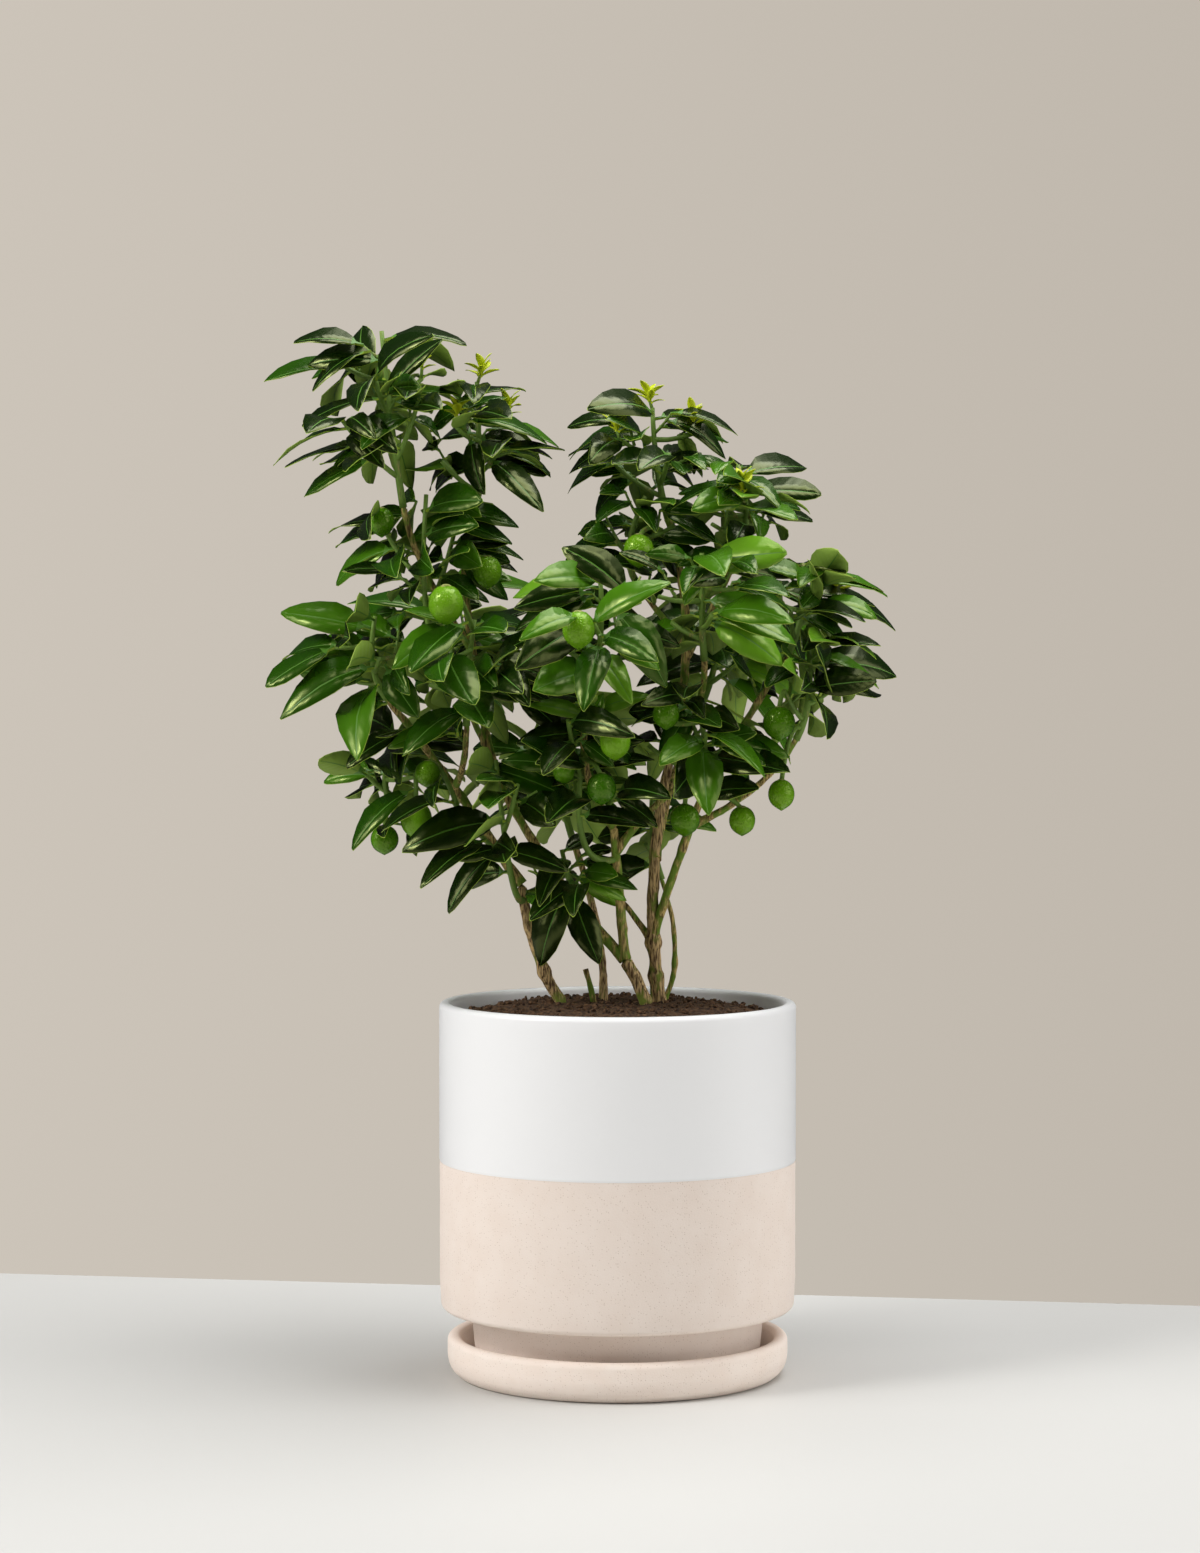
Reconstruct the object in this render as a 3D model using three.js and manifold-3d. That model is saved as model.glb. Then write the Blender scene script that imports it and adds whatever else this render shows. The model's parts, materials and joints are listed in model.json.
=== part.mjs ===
// A potted key lime tree: several woody stems rise from the soil of a two-tone stoneware pot on its saucer,
// fork into boughs, and each bough ends in a mass of twigs, leaves and green limes.
// Millimetres, +Z up. The origin is on the floor, under the middle of the saucer. The front is towards -Y.
import * as THREE from "three";
import { mergeVertices } from "three/addons/utils/BufferGeometryUtils.js";
import Module from "manifold-3d";

const wasm = await Module();
wasm.setup();

// Driving dimensions
const POT_RADIUS = 122;
const POT_TOP = 255;
const POT_UNDERSIDE = 46; // where the body steps in to its foot
const POT_WALL = 8.5;
const POT_INSIDE_FLOOR = 37;
const POT_LIP = 3; // how far the rim is rounded
const FOOT_RADIUS = 100;
const SAUCER_RADIUS = 116.5;
const SAUCER_HEIGHT = 27;
const SAUCER_WALL = 9.5;
const SAUCER_FLOOR = 7;
const SOIL_LEVEL = 253; // the raised middle that the stems stand in
const SOIL_EDGE = 245;
const SOIL_PLATEAU_RADIUS = 70;
const CLEARANCE = 0.3; // between pieces that touch on the real plant
const LEAF_LENGTH = 60;
const LEAF_ASPECT = 0.46; // blade width over blade length
const LEAF_KEEL = 1.3; // how deep the midrib stands below the blade
const LEAF_SINK = 0.3; // how far a leaf's root runs past the middle of its twig
const LEAF_SPACING = 10.5; // along a shoot
const BLADE_OVERHANG = 1.4; // how far a blade may pass its mass's reach, as a share of the reach
const TIP_OVERHANG = 1.65; // and how far its tip may
const TWIG_RADIUS = 2.0;
const GOLDEN_ANGLE = Math.PI * (3 - Math.sqrt(5));
const CROWN_AXIS = [-20, 60]; // leaves turn their upper sides up, away from here
const TO_LIGHT = [-0.2, -0.8, 0]; // and towards the light
const LEVEL_LEAVES = [440, 620]; // they turn less and less over this range of heights

const COLOURS = {
  glaze: { color: 0xe6e5e3, roughness: 0.35, metalness: 0 },
  stoneware: { color: 0xe6d3c4, roughness: 0.85, metalness: 0 },
  soil: { color: 0x3a2a1e, roughness: 0.95, metalness: 0 },
  bark: { color: 0x8b7446, roughness: 0.85, metalness: 0 },
  greenBark: { color: 0x5d7a33, roughness: 0.7, metalness: 0 },
  leaf: { color: 0x2f6b1c, roughness: 0.4, metalness: 0 },
};

// Each limb leaves the soil at foot, or its parent at a share of the parent's length.
// It passes through via halfway and ends at tip. radius is at its two ends.
const LIMBS = [
  { name: "stem_left", foot: [-38, 8],
    via: [-55, 6, 287], tip: [-66, 2, 335], radius: [3.5, 3.5] },
  { name: "stem_stub", foot: [-16, 22],
    via: [-19, 23, 264], tip: [-22, 24, 275], radius: [1.8, 1.6] },
  { name: "stem_back", foot: [-10, 34],
    via: [-14, 40, 303], tip: [-32, 56, 366], radius: [2.7, 2.2] },
  { name: "stem_middle", foot: [20, -2],
    via: [13, -2, 269], tip: [5, -2, 284], radius: [3.9, 3.9] },
  { name: "stem_main", foot: [29, 14],
    via: [25, 12, 342], tip: [40, 14, 440], radius: [4.5, 3.0] },
  { name: "stem_shoot", foot: [33, 30],
    via: [40, 32, 290], tip: [30, 38, 338], radius: [1.8, 1.4] },
  { name: "bough_plume", parent: "stem_middle", at: 1,
    via: [-42, 8, 340], tip: [-84, 14, 410], radius: [3.3, 3.0] },
  { name: "bough_leader", parent: "bough_plume", at: 1,
    via: [-96, 12, 470], tip: [-104, 6, 535], radius: [3.0, 2.5] },
  { name: "bough_plume_left", parent: "bough_leader", at: 0.7,
    via: [-131, -1, 548], tip: [-146, -8, 594], radius: [2.3, 1.9] },
  { name: "bough_plume_right", parent: "bough_leader", at: 1,
    via: [-104, 7, 562], tip: [-100, 10, 590], radius: [2.3, 1.9] },
  { name: "bough_middle", parent: "stem_middle", at: 1,
    via: [1, -8, 330], tip: [-3, -20, 376], radius: [3.3, 2.8] },
  { name: "bough_heart", parent: "bough_middle", at: 1,
    via: [-22, -44, 420], tip: [-17, -56, 472], radius: [2.6, 2.1] },
  { name: "bough_crown", parent: "stem_main", at: 1,
    via: [47, 22, 512], tip: [34, 22, 588], radius: [3.1, 2.2] },
  { name: "bough_shoulder", parent: "bough_crown", at: 0.35,
    via: [68, 12, 530], tip: [84, 4, 564], radius: [2.3, 1.8] },
  { name: "bough_crown_left", parent: "bough_crown", at: 0.4,
    via: [26, 18, 524], tip: [12, 12, 543], radius: [2.2, 1.7] },
  { name: "bough_heart_right", parent: "stem_main", at: 0.9,
    via: [54, -14, 455], tip: [58, -34, 490], radius: [2.6, 1.9] },
  { name: "bough_right", parent: "stem_main", at: 0.26,
    via: [41, 4, 350], tip: [59, 0, 398], radius: [3.0, 2.6] },
  { name: "bough_inner", parent: "stem_main", at: 0.22,
    via: [10, 17, 314], tip: [-6, 20, 330], radius: [2.1, 1.6] },
  { name: "bough_right_arm", parent: "bough_right", at: 1,
    via: [90, -2, 450], tip: [116, -2, 492], radius: [2.7, 2.0] },
  { name: "bough_right_low", parent: "bough_right", at: 0.75,
    via: [94, -10, 402], tip: [122, -17, 436], radius: [2.4, 1.8] },
  { name: "bough_skirt_right", parent: "bough_middle", at: 0.8,
    via: [24, -20, 388], tip: [46, -24, 404], radius: [2.4, 1.8] },
  { name: "bough_back", parent: "stem_main", at: 0.55,
    via: [40, 50, 410], tip: [58, 74, 454], radius: [3.0, 2.1] },
  { name: "bough_left_arch", parent: "stem_left", at: 1,
    via: [-116, -6, 408], tip: [-158, -18, 464], radius: [3.3, 2.2] },
  { name: "bough_left_low", parent: "bough_left_arch", at: 0.3,
    via: [-118, 8, 368], tip: [-152, 10, 386], radius: [2.4, 1.8] },
  { name: "bough_left_heart", parent: "bough_left_arch", at: 0.45,
    via: [-104, -24, 420], tip: [-102, -34, 446], radius: [2.3, 1.8] },
  { name: "bough_left_back", parent: "bough_plume", at: 0.85,
    via: [-88, 46, 420], tip: [-106, 66, 458], radius: [2.6, 2.0] },
];

// Each mass of foliage grows from the tip of a limb, or from its side at a share of its length,
// and its shoots fill the ellipsoid of its centre and reach. limes are centre x, y, z and radius.
const MASSES = [
  { name: "plume_top_left", on: "bough_plume_left",
    centre: [-160, -12, 666], reach: [50, 50, 60], shoots: 6, seed: 795 },
  { name: "plume_top_right", on: "bough_plume_right",
    centre: [-96, 4, 636], reach: [40, 48, 56], shoots: 5, seed: 823 },
  { name: "plume_middle", on: "bough_leader", at: 0.55,
    centre: [-130, -10, 566], reach: [50, 52, 46], shoots: 5, seed: 140,
    limes: [[-160, -16, 582, 8.8], [-88, -22, 548, 9.8]] },
  { name: "left_arm", on: "bough_left_arch",
    centre: [-164, -22, 485], reach: [48, 50, 44], shoots: 4, seed: 912 },
  { name: "left_heart", on: "bough_left_heart",
    centre: [-96, -44, 476], reach: [52, 50, 52], shoots: 5, seed: 225,
    limes: [[-114, -70, 525, 11.8]] },
  { name: "left_low", on: "bough_left_low",
    centre: [-146, 6, 412], reach: [44, 48, 44], shoots: 3, seed: 407,
    limes: [[-159, -4, 366, 9.6], [-137, -12, 380, 10.9]] },
  { name: "left_skirt", on: "stem_left", at: 0.9,
    centre: [-82, -36, 388], reach: [50, 48, 44], shoots: 4, seed: 116,
    limes: [[-128, -40, 412, 8.6]] },
  { name: "left_back", on: "bough_left_back",
    centre: [-118, 88, 500], reach: [57, 53, 62], shoots: 4, seed: 75,
    limes: [[-80, 130, 470, 10]] },
  { name: "crown_top", on: "bough_crown",
    centre: [24, 20, 630], reach: [48, 48, 42], shoots: 5, seed: 81 },
  { name: "crown_shoulder", on: "bough_shoulder",
    centre: [82, 0, 588], reach: [42, 50, 44], shoots: 5, seed: 672 },
  { name: "crown_left", on: "bough_crown_left",
    centre: [19, 4, 570], reach: [38, 50, 40], shoots: 4, seed: 849,
    limes: [[14, -36, 562, 10.2]] },
  { name: "heart_front", on: "bough_heart",
    centre: [-12, -62, 506], reach: [52, 52, 50], shoots: 5, seed: 620,
    limes: [[-26, -100, 508, 10.8]] },
  { name: "heart_right", on: "bough_heart_right",
    centre: [56, -50, 522], reach: [50, 52, 50], shoots: 5, seed: 412 },
  { name: "right_arm", on: "bough_right_arm",
    centre: [126, 0, 526], reach: [44, 50, 38], shoots: 4, seed: 908 },
  { name: "right_low", on: "bough_right_low",
    centre: [128, -20, 474], reach: [46, 50, 40], shoots: 4, seed: 655,
    limes: [[108, -46, 446, 10.9], [110, -38, 398, 8.9]] },
  { name: "skirt_middle", on: "bough_middle", at: 0.75,
    centre: [-16, -40, 432], reach: [52, 52, 50], shoots: 4, seed: 514,
    limes: [[-2, -80, 434, 10.3], [-11, -70, 403, 9.9], [-36, -60, 414, 7.6]] },
  { name: "skirt_right", on: "bough_skirt_right",
    centre: [48, -34, 438], reach: [50, 50, 46], shoots: 4, seed: 699,
    limes: [[45, -40, 381, 10.2], [84, -30, 380, 8.9], [32, -62, 452, 9]] },
  { name: "right_back", on: "bough_back",
    centre: [74, 96, 514], reach: [65, 57, 65], shoots: 4, seed: 853,
    limes: [[104, 140, 470, 10.5], [40, 150, 500, 9.5]] },
  { name: "skirt_back", on: "stem_back",
    centre: [-36, 84, 424], reach: [57, 52, 52], shoots: 3, seed: 299,
    limes: [[-60, 120, 384, 9.8], [8, 116, 396, 9]] },
  { name: "foot_leaves", on: "bough_plume", at: 0.35,
    centre: [-38, -16, 334], reach: [40, 42, 34], shoots: 3, seed: 980 },
  { name: "inner_sprig", on: "stem_shoot",
    centre: [24, 46, 366], reach: [34, 34, 36], shoots: 2, seed: 751 },
];

const vec = (v) => new THREE.Vector3(...v);
const along = (curve, t) => curve.getPoint(t);
const heading = (curve, t) => curve.getTangent(t);
const mix = (a, b, t) => a + (b - a) * t;

// A repeatable stream of numbers from 0 to 1 for each mass.
function numbersFrom(seed) {
  let state = seed * 7919 + 1;
  return () => {
    state = (state * 48271) % 2147483647;
    return state / 2147483647;
  };
}

// A curve from start to end that is at via halfway.
function curveThrough(start, via, end) {
  const middle = start.clone().add(end).multiplyScalar(0.5);
  return new THREE.QuadraticBezierCurve3(start, via.clone().multiplyScalar(2).sub(middle), end);
}

// A closed solid from a geometry, and back.
function solidOf(geometry) {
  const bare = new THREE.BufferGeometry();
  bare.setAttribute("position", geometry.getAttribute("position"));
  bare.setIndex(geometry.getIndex());
  const merged = mergeVertices(bare, 1e-4);
  return new wasm.Manifold(
    new wasm.Mesh({
      numProp: 3,
      vertProperties: new Float32Array(merged.attributes.position.array),
      triVerts: new Uint32Array(merged.index.array),
    }),
  );
}

function geometryOf(solid) {
  const mesh = solid.getMesh();
  const geometry = new THREE.BufferGeometry();
  geometry.setAttribute("position", new THREE.BufferAttribute(mesh.vertProperties, 3));
  geometry.setIndex(new THREE.BufferAttribute(mesh.triVerts, 1));
  return geometry;
}

// The largest body of a union: it fills a hollow that fusing sealed and drops a loose scrap.
function largestBody(solid) {
  return solid.decompose().reduce((a, b) => (b.volume() > a.volume() ? b : a));
}

// Two directions square to a curve, steady along it.
function squareTo(curve, t) {
  const chord = along(curve, 1).sub(along(curve, 0));
  const spans = [Math.abs(chord.x), Math.abs(chord.y), Math.abs(chord.z)];
  const steady = new THREE.Vector3().setComponent(spans.indexOf(Math.min(...spans)), 1);
  const tangent = heading(curve, t);
  const side = new THREE.Vector3().crossVectors(tangent, steady).normalize();
  return [side, new THREE.Vector3().crossVectors(side, tangent)];
}

// A tapering limb: a cylinder bent along a curve. A limb with a level foot has its first ring cut flat.
function limbGeometry({ curve, radiusAt, sides, steps, levelFoot = false }) {
  const geometry = new THREE.CylinderGeometry(1, 1, 1, sides, steps);
  const position = geometry.getAttribute("position");
  for (let i = 0; i < position.count; i++) {
    const t = position.getY(i) + 0.5;
    const [side, across] = squareTo(curve, t);
    const offset = side.multiplyScalar(position.getX(i)).addScaledVector(across, position.getZ(i));
    offset.multiplyScalar(radiusAt(t));
    if (levelFoot && t < 1e-6) {
      const tangent = heading(curve, 0);
      offset.addScaledVector(tangent, -offset.z / tangent.z);
    }
    const point = along(curve, t).add(offset);
    position.setXYZ(i, point.x, point.y, point.z);
  }
  return geometry;
}

// Limbs
const limbs = new Map();

for (const spec of LIMBS) {
  const parent = limbs.get(spec.parent);
  const start = parent ? along(parent.curve, spec.at) : vec([...spec.foot, SOIL_LEVEL + CLEARANCE]);
  const curve = curveThrough(start, vec(spec.via), vec(spec.tip));
  const length = curve.getLength();
  const flare = parent ? 0 : 0.22;
  const radiusAt = (t) => mix(...spec.radius, t) * (1 + flare * Math.exp((-t * length) / 9));
  limbs.set(spec.name, { ...spec, curve, length, radiusAt });
}

// A limb's solid, grown all round by extra, which is also added past its end.
function limbSolid(limb, extra = 0) {
  const sides = limb.radius[0] > 3 ? 6 : 5;
  const steps = Math.max(2, Math.round(limb.length / 36));
  const curve = limb.curve.clone();
  curve.v2.addScaledVector(heading(limb.curve, 1), extra);
  return solidOf(
    limbGeometry({
      curve,
      radiusAt: (t) => limb.radiusAt(t) + extra,
      sides,
      steps,
      levelFoot: !limb.parent,
    }),
  );
}

// A bough starts inside its parent, and is cut clear of it and of any elder sister on the same parent.
function boughSolid(limb) {
  let solid = limbSolid(limb);
  for (const elder of limbs.values()) {
    if (elder === limb) break;
    const sister = limb.parent && elder.parent === limb.parent;
    if (elder.name === limb.parent || sister) solid = solid.subtract(limbSolid(elder, CLEARANCE));
  }
  return largestBody(solid);
}

// Beads strung along a limb, a shoot or a stalk show what a leaf would touch.
function beadsAlong(curve, radiusAt, owner, spacing = 3) {
  const count = Math.ceil(curve.getLength() / spacing);
  return Array.from({ length: count + 1 }, (_, i) => ({
    at: along(curve, i / count),
    radius: radiusAt(i / count),
    owner,
  }));
}

const limbBeads = [...limbs.values()].flatMap((limb) => beadsAlong(limb.curve, limb.radiusAt, limb));

// The space of a mass: inside its ellipsoid, and on its own side of the plane between it and each other mass.
const CELL_MARGIN = 0.6;

for (const mass of MASSES) mass.weight = (mass.reach[0] + mass.reach[1] + mass.reach[2]) / 3;

function insideReach(mass, point, share = 1) {
  const [x, y, z] = mass.centre.map((c, i) => (point.getComponent(i) - c) / mass.reach[i]);
  return x * x + y * y + z * z <= share * share;
}

function insideCell(mass, point) {
  const own = point.distanceToSquared(vec(mass.centre)) - mass.weight ** 2;
  return MASSES.every((other) => {
    if (other === mass) return true;
    const theirs = point.distanceToSquared(vec(other.centre)) - other.weight ** 2;
    const apart = vec(mass.centre).distanceTo(vec(other.centre));
    return own - theirs + 2 * CELL_MARGIN * apart <= 0;
  });
}

// Shoots
// A shoot is built of straight lengths, and whatever grows on it starts from the middle of one of them.
const SHOOT_STEP = 34;
const SHORTEST_SHOOT = 12;

function addShoot(grown, curve, radii) {
  const length = curve.getLength();
  const steps = Math.max(1, Math.round(length / SHOOT_STEP));
  const shoot = { curve, radii, radiusAt: (t) => mix(...radii, t), length, steps };
  grown.shoots.push(shoot);
  grown.beads.push(...beadsAlong(curve, shoot.radiusAt, shoot));
  return shoot;
}

function onShoot(shoot, t) {
  const step = Math.min(Math.floor(t * shoot.steps), shoot.steps - 1);
  const from = along(shoot.curve, step / shoot.steps);
  return from.lerp(along(shoot.curve, (step + 1) / shoot.steps), t * shoot.steps - step);
}

// The main shoot leaves its limb's tip, or stands on its side, and rises through the middle of the mass.
function mainShoot(mass, grown) {
  const limb = limbs.get(mass.on);
  const centre = vec(mass.centre);
  let start, leaving;
  if (mass.at === undefined) {
    leaving = heading(limb.curve, 1);
    start = along(limb.curve, 1).addScaledVector(leaving, CLEARANCE);
  } else {
    const foot = along(limb.curve, mass.at);
    const axis = heading(limb.curve, mass.at);
    leaving = centre.clone().sub(foot);
    leaving.addScaledVector(axis, -leaving.dot(axis)).normalize();
    start = foot.addScaledVector(leaving, limb.radiusAt(mass.at) + CLEARANCE);
  }
  const crest = centre.clone().setZ(centre.z + 0.75 * mass.reach[2]);
  const handle = start.clone().addScaledVector(leaving, 0.4 * start.distanceTo(crest));
  const curve = new THREE.QuadraticBezierCurve3(start, handle, crest);
  return addShoot(grown, curve, [TWIG_RADIUS * 1.3, TWIG_RADIUS * 0.75]);
}

// Side shoots turn round the main one by the golden angle. Each is drawn in until it is clear of every limb.
function sideShoots(mass, grown, main, random) {
  const turn = random() * 2 * Math.PI;
  for (let i = 0; i < mass.shoots; i++) {
    const t = mix(0.12, 0.8, (i + 0.5) / mass.shoots);
    const angle = turn + i * GOLDEN_ANGLE + 0.5 * random();
    const lift = mix(-0.7, 0.8, t) + 0.3 * random();
    const start = onShoot(main, t);
    for (const share of [0.6, 0.45, 0.3]) {
      const out = new THREE.Vector3(Math.cos(angle), Math.sin(angle), lift);
      const end = vec(mass.centre).add(out.multiply(vec(mass.reach)).multiplyScalar(share));
      const handle = start.clone().lerp(end, 0.5);
      handle.z -= 0.12 * start.distanceTo(end);
      const curve = new THREE.QuadraticBezierCurve3(start, handle, end);
      const path = beadsAlong(curve, () => TWIG_RADIUS, mass).slice(2);
      const clear = path.every(({ at, radius }) => {
        return insideCell(mass, at) && limbBeads.every((b) => b.at.distanceTo(at) > b.radius + radius + 1);
      });
      if (clear && curve.getLength() > SHORTEST_SHOOT) {
        addShoot(grown, curve, [TWIG_RADIUS * 0.95, TWIG_RADIUS * 0.75]);
        break;
      }
    }
  }
}

// Each lime hangs on a stalk from the nearest place on a shoot.
function hangLimes(mass, grown) {
  for (const [x, y, z, radius] of mass.limes ?? []) {
    const lime = { at: new THREE.Vector3(x, y, z), radius };
    const top = lime.at.clone().setZ(z + 0.85 * radius);
    const places = grown.shoots.flatMap((shoot) => [0.1, 0.3, 0.5, 0.7, 0.9].map((t) => onShoot(shoot, t)));
    const from = places.reduce((a, b) => (b.distanceTo(top) < a.distanceTo(top) ? b : a));
    const handle = from.clone().lerp(top, 0.6);
    handle.z = Math.max(from.z, top.z) + 5;
    const curve = new THREE.QuadraticBezierCurve3(from, handle, top);
    addShoot(grown, curve, [TWIG_RADIUS * 0.9, TWIG_RADIUS * 0.8]);
    grown.limes.push(lime);
    grown.beads.push({ ...lime, owner: lime });
  }
}

// Leaves
// A leaf is a root, three directions square to each other and a size. Along its length, from 0 to 1,
// the blade swells from its stalk, narrows to its tip and arches down.
const LEAF_RINGS = [0, 0.26, 0.68, 1];
const LEAF_SAMPLES = [0.2, 0.4, 0.6, 0.8].flatMap((u) => [-0.85, 0, 0.85].map((v) => [u, v]));
LEAF_SAMPLES.push([1, 0]);

function halfWidth(leaf, u) {
  return u <= 0 || u >= 1 ? 0 : 0.5 * leaf.width * Math.sin(Math.PI * u ** 0.9) ** 0.7;
}

function leafPoint(leaf, u, v, w = 0) {
  return leaf.root
    .clone()
    .addScaledVector(leaf.along, u * leaf.length)
    .addScaledVector(leaf.across, v)
    .addScaledVector(leaf.up, w - leaf.arch * leaf.length * u * u);
}

function leafSamples(leaf) {
  return LEAF_SAMPLES.map(([u, v]) => leafPoint(leaf, u, v * halfWidth(leaf, u)));
}

function makeLeaf(root, direction, upwards, length, random) {
  const along = direction.clone().normalize();
  const across = new THREE.Vector3().crossVectors(upwards, along).normalize();
  const up = new THREE.Vector3().crossVectors(along, across);
  const width = length * LEAF_ASPECT * mix(0.88, 1.12, random());
  return { root, along, across, up, length, width, arch: mix(0.14, 0.4, random()) };
}

function leafTouches(leaf, bead, gap) {
  const offset = bead.at.clone().sub(leaf.root);
  const room = bead.radius + gap;
  const u = offset.dot(leaf.along) / leaf.length;
  if (u < 0.04 || u > 1 + room / leaf.length) return false;
  if (Math.abs(offset.dot(leaf.across)) > Math.max(halfWidth(leaf, u), 1.2) + room) return false;
  return Math.abs(offset.dot(leaf.up) + leaf.arch * leaf.length * Math.min(u, 1) ** 2) < room;
}

function leafFits(mass, leaf, shoot, beads) {
  const points = leafSamples(leaf);
  const overhang = (i) => (LEAF_SAMPLES[i][0] > 0.7 ? TIP_OVERHANG : BLADE_OVERHANG);
  if (!points.every((p, i) => insideReach(mass, p, overhang(i)) && insideCell(mass, p))) return false;
  const blocked = beads.some((bead) => {
    if (bead.owner === shoot && bead.at.distanceTo(leaf.root) < 7) return false;
    return leafTouches(leaf, bead, 1.2);
  });
  if (blocked) return false;
  return mass.grown.leaves.every((other) => {
    if (other.root.distanceTo(leaf.root) > 1.9 * LEAF_LENGTH) return true;
    const theirs = leafSamples(other);
    return !points.some((at) => leafTouches(other, { at, radius: 1 }, 0.8)) &&
      !theirs.some((at) => leafTouches(leaf, { at, radius: 1 }, 0.8));
  });
}

// Leaves stand round each shoot by the golden angle, spreading wide below and closing up towards the tip.
// A place whose leaf would leave the mass's space or touch something tries another side or a smaller leaf.
function leafUp(mass, beads, random) {
  const centre = vec(mass.centre);
  const facing = new THREE.Vector3(centre.x - CROWN_AXIS[0], centre.y - CROWN_AXIS[1], 0).normalize();
  const [low, high] = LEVEL_LEAVES;
  const rise = Math.min(Math.max((centre.z - low) / (high - low), 0), 1);
  facing.add(vec(TO_LIGHT)).multiplyScalar(mix(1, 0.55, rise));
  for (const shoot of mass.grown.shoots) {
    const count = Math.max(1, Math.floor((shoot.length - 5) / LEAF_SPACING));
    const turn = random() * 2 * Math.PI;
    for (let k = 0; k <= count; k++) {
      const t = Math.min(mix(5 / shoot.length, 1, (k + 0.35) / count), 0.95);
      const root = onShoot(shoot, t);
      const axis = heading(shoot.curve, t);
      const [side, across] = squareTo(shoot.curve, t);
      const outwards = root.clone().sub(centre).setZ(0);
      outwards.divideScalar(Math.max(outwards.length(), 12));
      const size = LEAF_LENGTH * mix(1.15, 0.95, t) * mix(0.85, 1.12, random());
      for (let tries = 0; tries < 12; tries++) {
        const angle = turn + (k + 0.65 * (tries % 4)) * GOLDEN_ANGLE;
        const spread = mix(1.35, 0.75, t * t);
        const direction = side.clone().multiplyScalar(Math.cos(angle));
        direction.addScaledVector(across, Math.sin(angle));
        direction.multiplyScalar(Math.sin(spread)).addScaledVector(axis, Math.cos(spread));
        direction.addScaledVector(outwards, 0.4);
        direction.z = 0.45 * direction.z - 0.12;
        const upwards = new THREE.Vector3(random() - 0.5, random() - 0.5, 1).add(facing);
        const length = size * [1, 0.85, 0.7][Math.floor(tries / 4)];
        const leaf = makeLeaf(root, direction, upwards, length, random);
        if (leafFits(mass, leaf, shoot, beads)) {
          mass.grown.leaves.push(leaf);
          break;
        }
      }
    }
  }
}

// Every mass grows its shoots and limes first, so that each leaf can keep clear of all of them.
for (const mass of MASSES) {
  mass.random = numbersFrom(mass.seed);
  mass.grown = { shoots: [], limes: [], leaves: [], beads: [] };
  sideShoots(mass, mass.grown, mainShoot(mass, mass.grown), mass.random);
  hangLimes(mass, mass.grown);
}

const allBeads = limbBeads.concat(...MASSES.map((mass) => mass.grown.beads));

for (const mass of MASSES) leafUp(mass, allBeads, mass.random);

// A leaf's solid: a three-sided ball drawn out from a root in its twig to a tip, flat above, keeled below.
function leafGeometry(leaf) {
  const geometry = new THREE.SphereGeometry(1, 3, 3);
  const position = geometry.getAttribute("position");
  for (let i = 0; i < position.count; i++) {
    const ring = LEAF_RINGS[Math.floor((1.01 - position.getY(i)) * 1.5 + 0.45)];
    const u = ring === 0 ? -LEAF_SINK / leaf.length : ring;
    const half = ring % 1 ? 1.12 * halfWidth(leaf, u) : 0;
    const keel = position.getX(i) < -0.1;
    const v = keel ? 0 : -Math.sign(position.getZ(i)) * half;
    position.setXYZ(i, ...leafPoint(leaf, u, v, keel && half ? -LEAF_KEEL : 0));
  }
  return geometry;
}

// A lime: a ball drawn to a slight point below and a short neck above.
function limeGeometry(lime) {
  const outline = [
    [0, -1.1], [0.62, -0.74], [1, -0.1], [0.8, 0.6], [0, 1.02],
  ].map(([r, y]) => new THREE.Vector2(r * lime.radius, y * lime.radius));
  const geometry = new THREE.LatheGeometry(outline, 6);
  geometry.rotateX(Math.PI / 2);
  geometry.translate(...lime.at);
  return geometry;
}

function massSolid({ shoots, limes, leaves }) {
  const woody = shoots.map((shoot, i) =>
    limbGeometry({
      curve: shoot.curve,
      radiusAt: shoot.radiusAt,
      sides: i === 0 ? 4 : 3,
      steps: shoot.steps,
    }),
  );
  const pieces = [...woody, ...limes.map(limeGeometry), ...leaves.map(leafGeometry)].map(solidOf);
  return largestBody(pieces.reduce((whole, piece) => whole.add(piece)));
}

// Pot, saucer and soil
function turned(points, sides) {
  const outline = points.map(([r, z]) => new THREE.Vector2(r, z));
  const geometry = new THREE.LatheGeometry(outline, sides);
  geometry.rotateX(Math.PI / 2);
  return geometry;
}

const POT_SIDES = 30;
const POT_EDGE = 5; // the rounding under the body
const POT_INSIDE_CORNER = 62; // where the wall turns in to the inside floor
const FOOT_TAPER = 4;
const SAUCER_EDGE = 2; // the roundings of the saucer

function potGeometry() {
  const inner = POT_RADIUS - POT_WALL;
  return turned(
    [
      [0, SAUCER_FLOOR],
      [FOOT_RADIUS - FOOT_TAPER, SAUCER_FLOOR],
      [FOOT_RADIUS, POT_UNDERSIDE - 2],
      [POT_RADIUS - POT_EDGE, POT_UNDERSIDE],
      [POT_RADIUS - 1, POT_UNDERSIDE + POT_EDGE],
      [POT_RADIUS, POT_TOP - POT_LIP],
      [POT_RADIUS - POT_LIP, POT_TOP],
      [inner + POT_LIP, POT_TOP],
      [inner, POT_TOP - POT_LIP],
      [inner, POT_INSIDE_CORNER],
      [FOOT_RADIUS - 2 * POT_EDGE, POT_INSIDE_FLOOR],
      [0, POT_INSIDE_FLOOR],
    ],
    POT_SIDES,
  );
}

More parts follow.
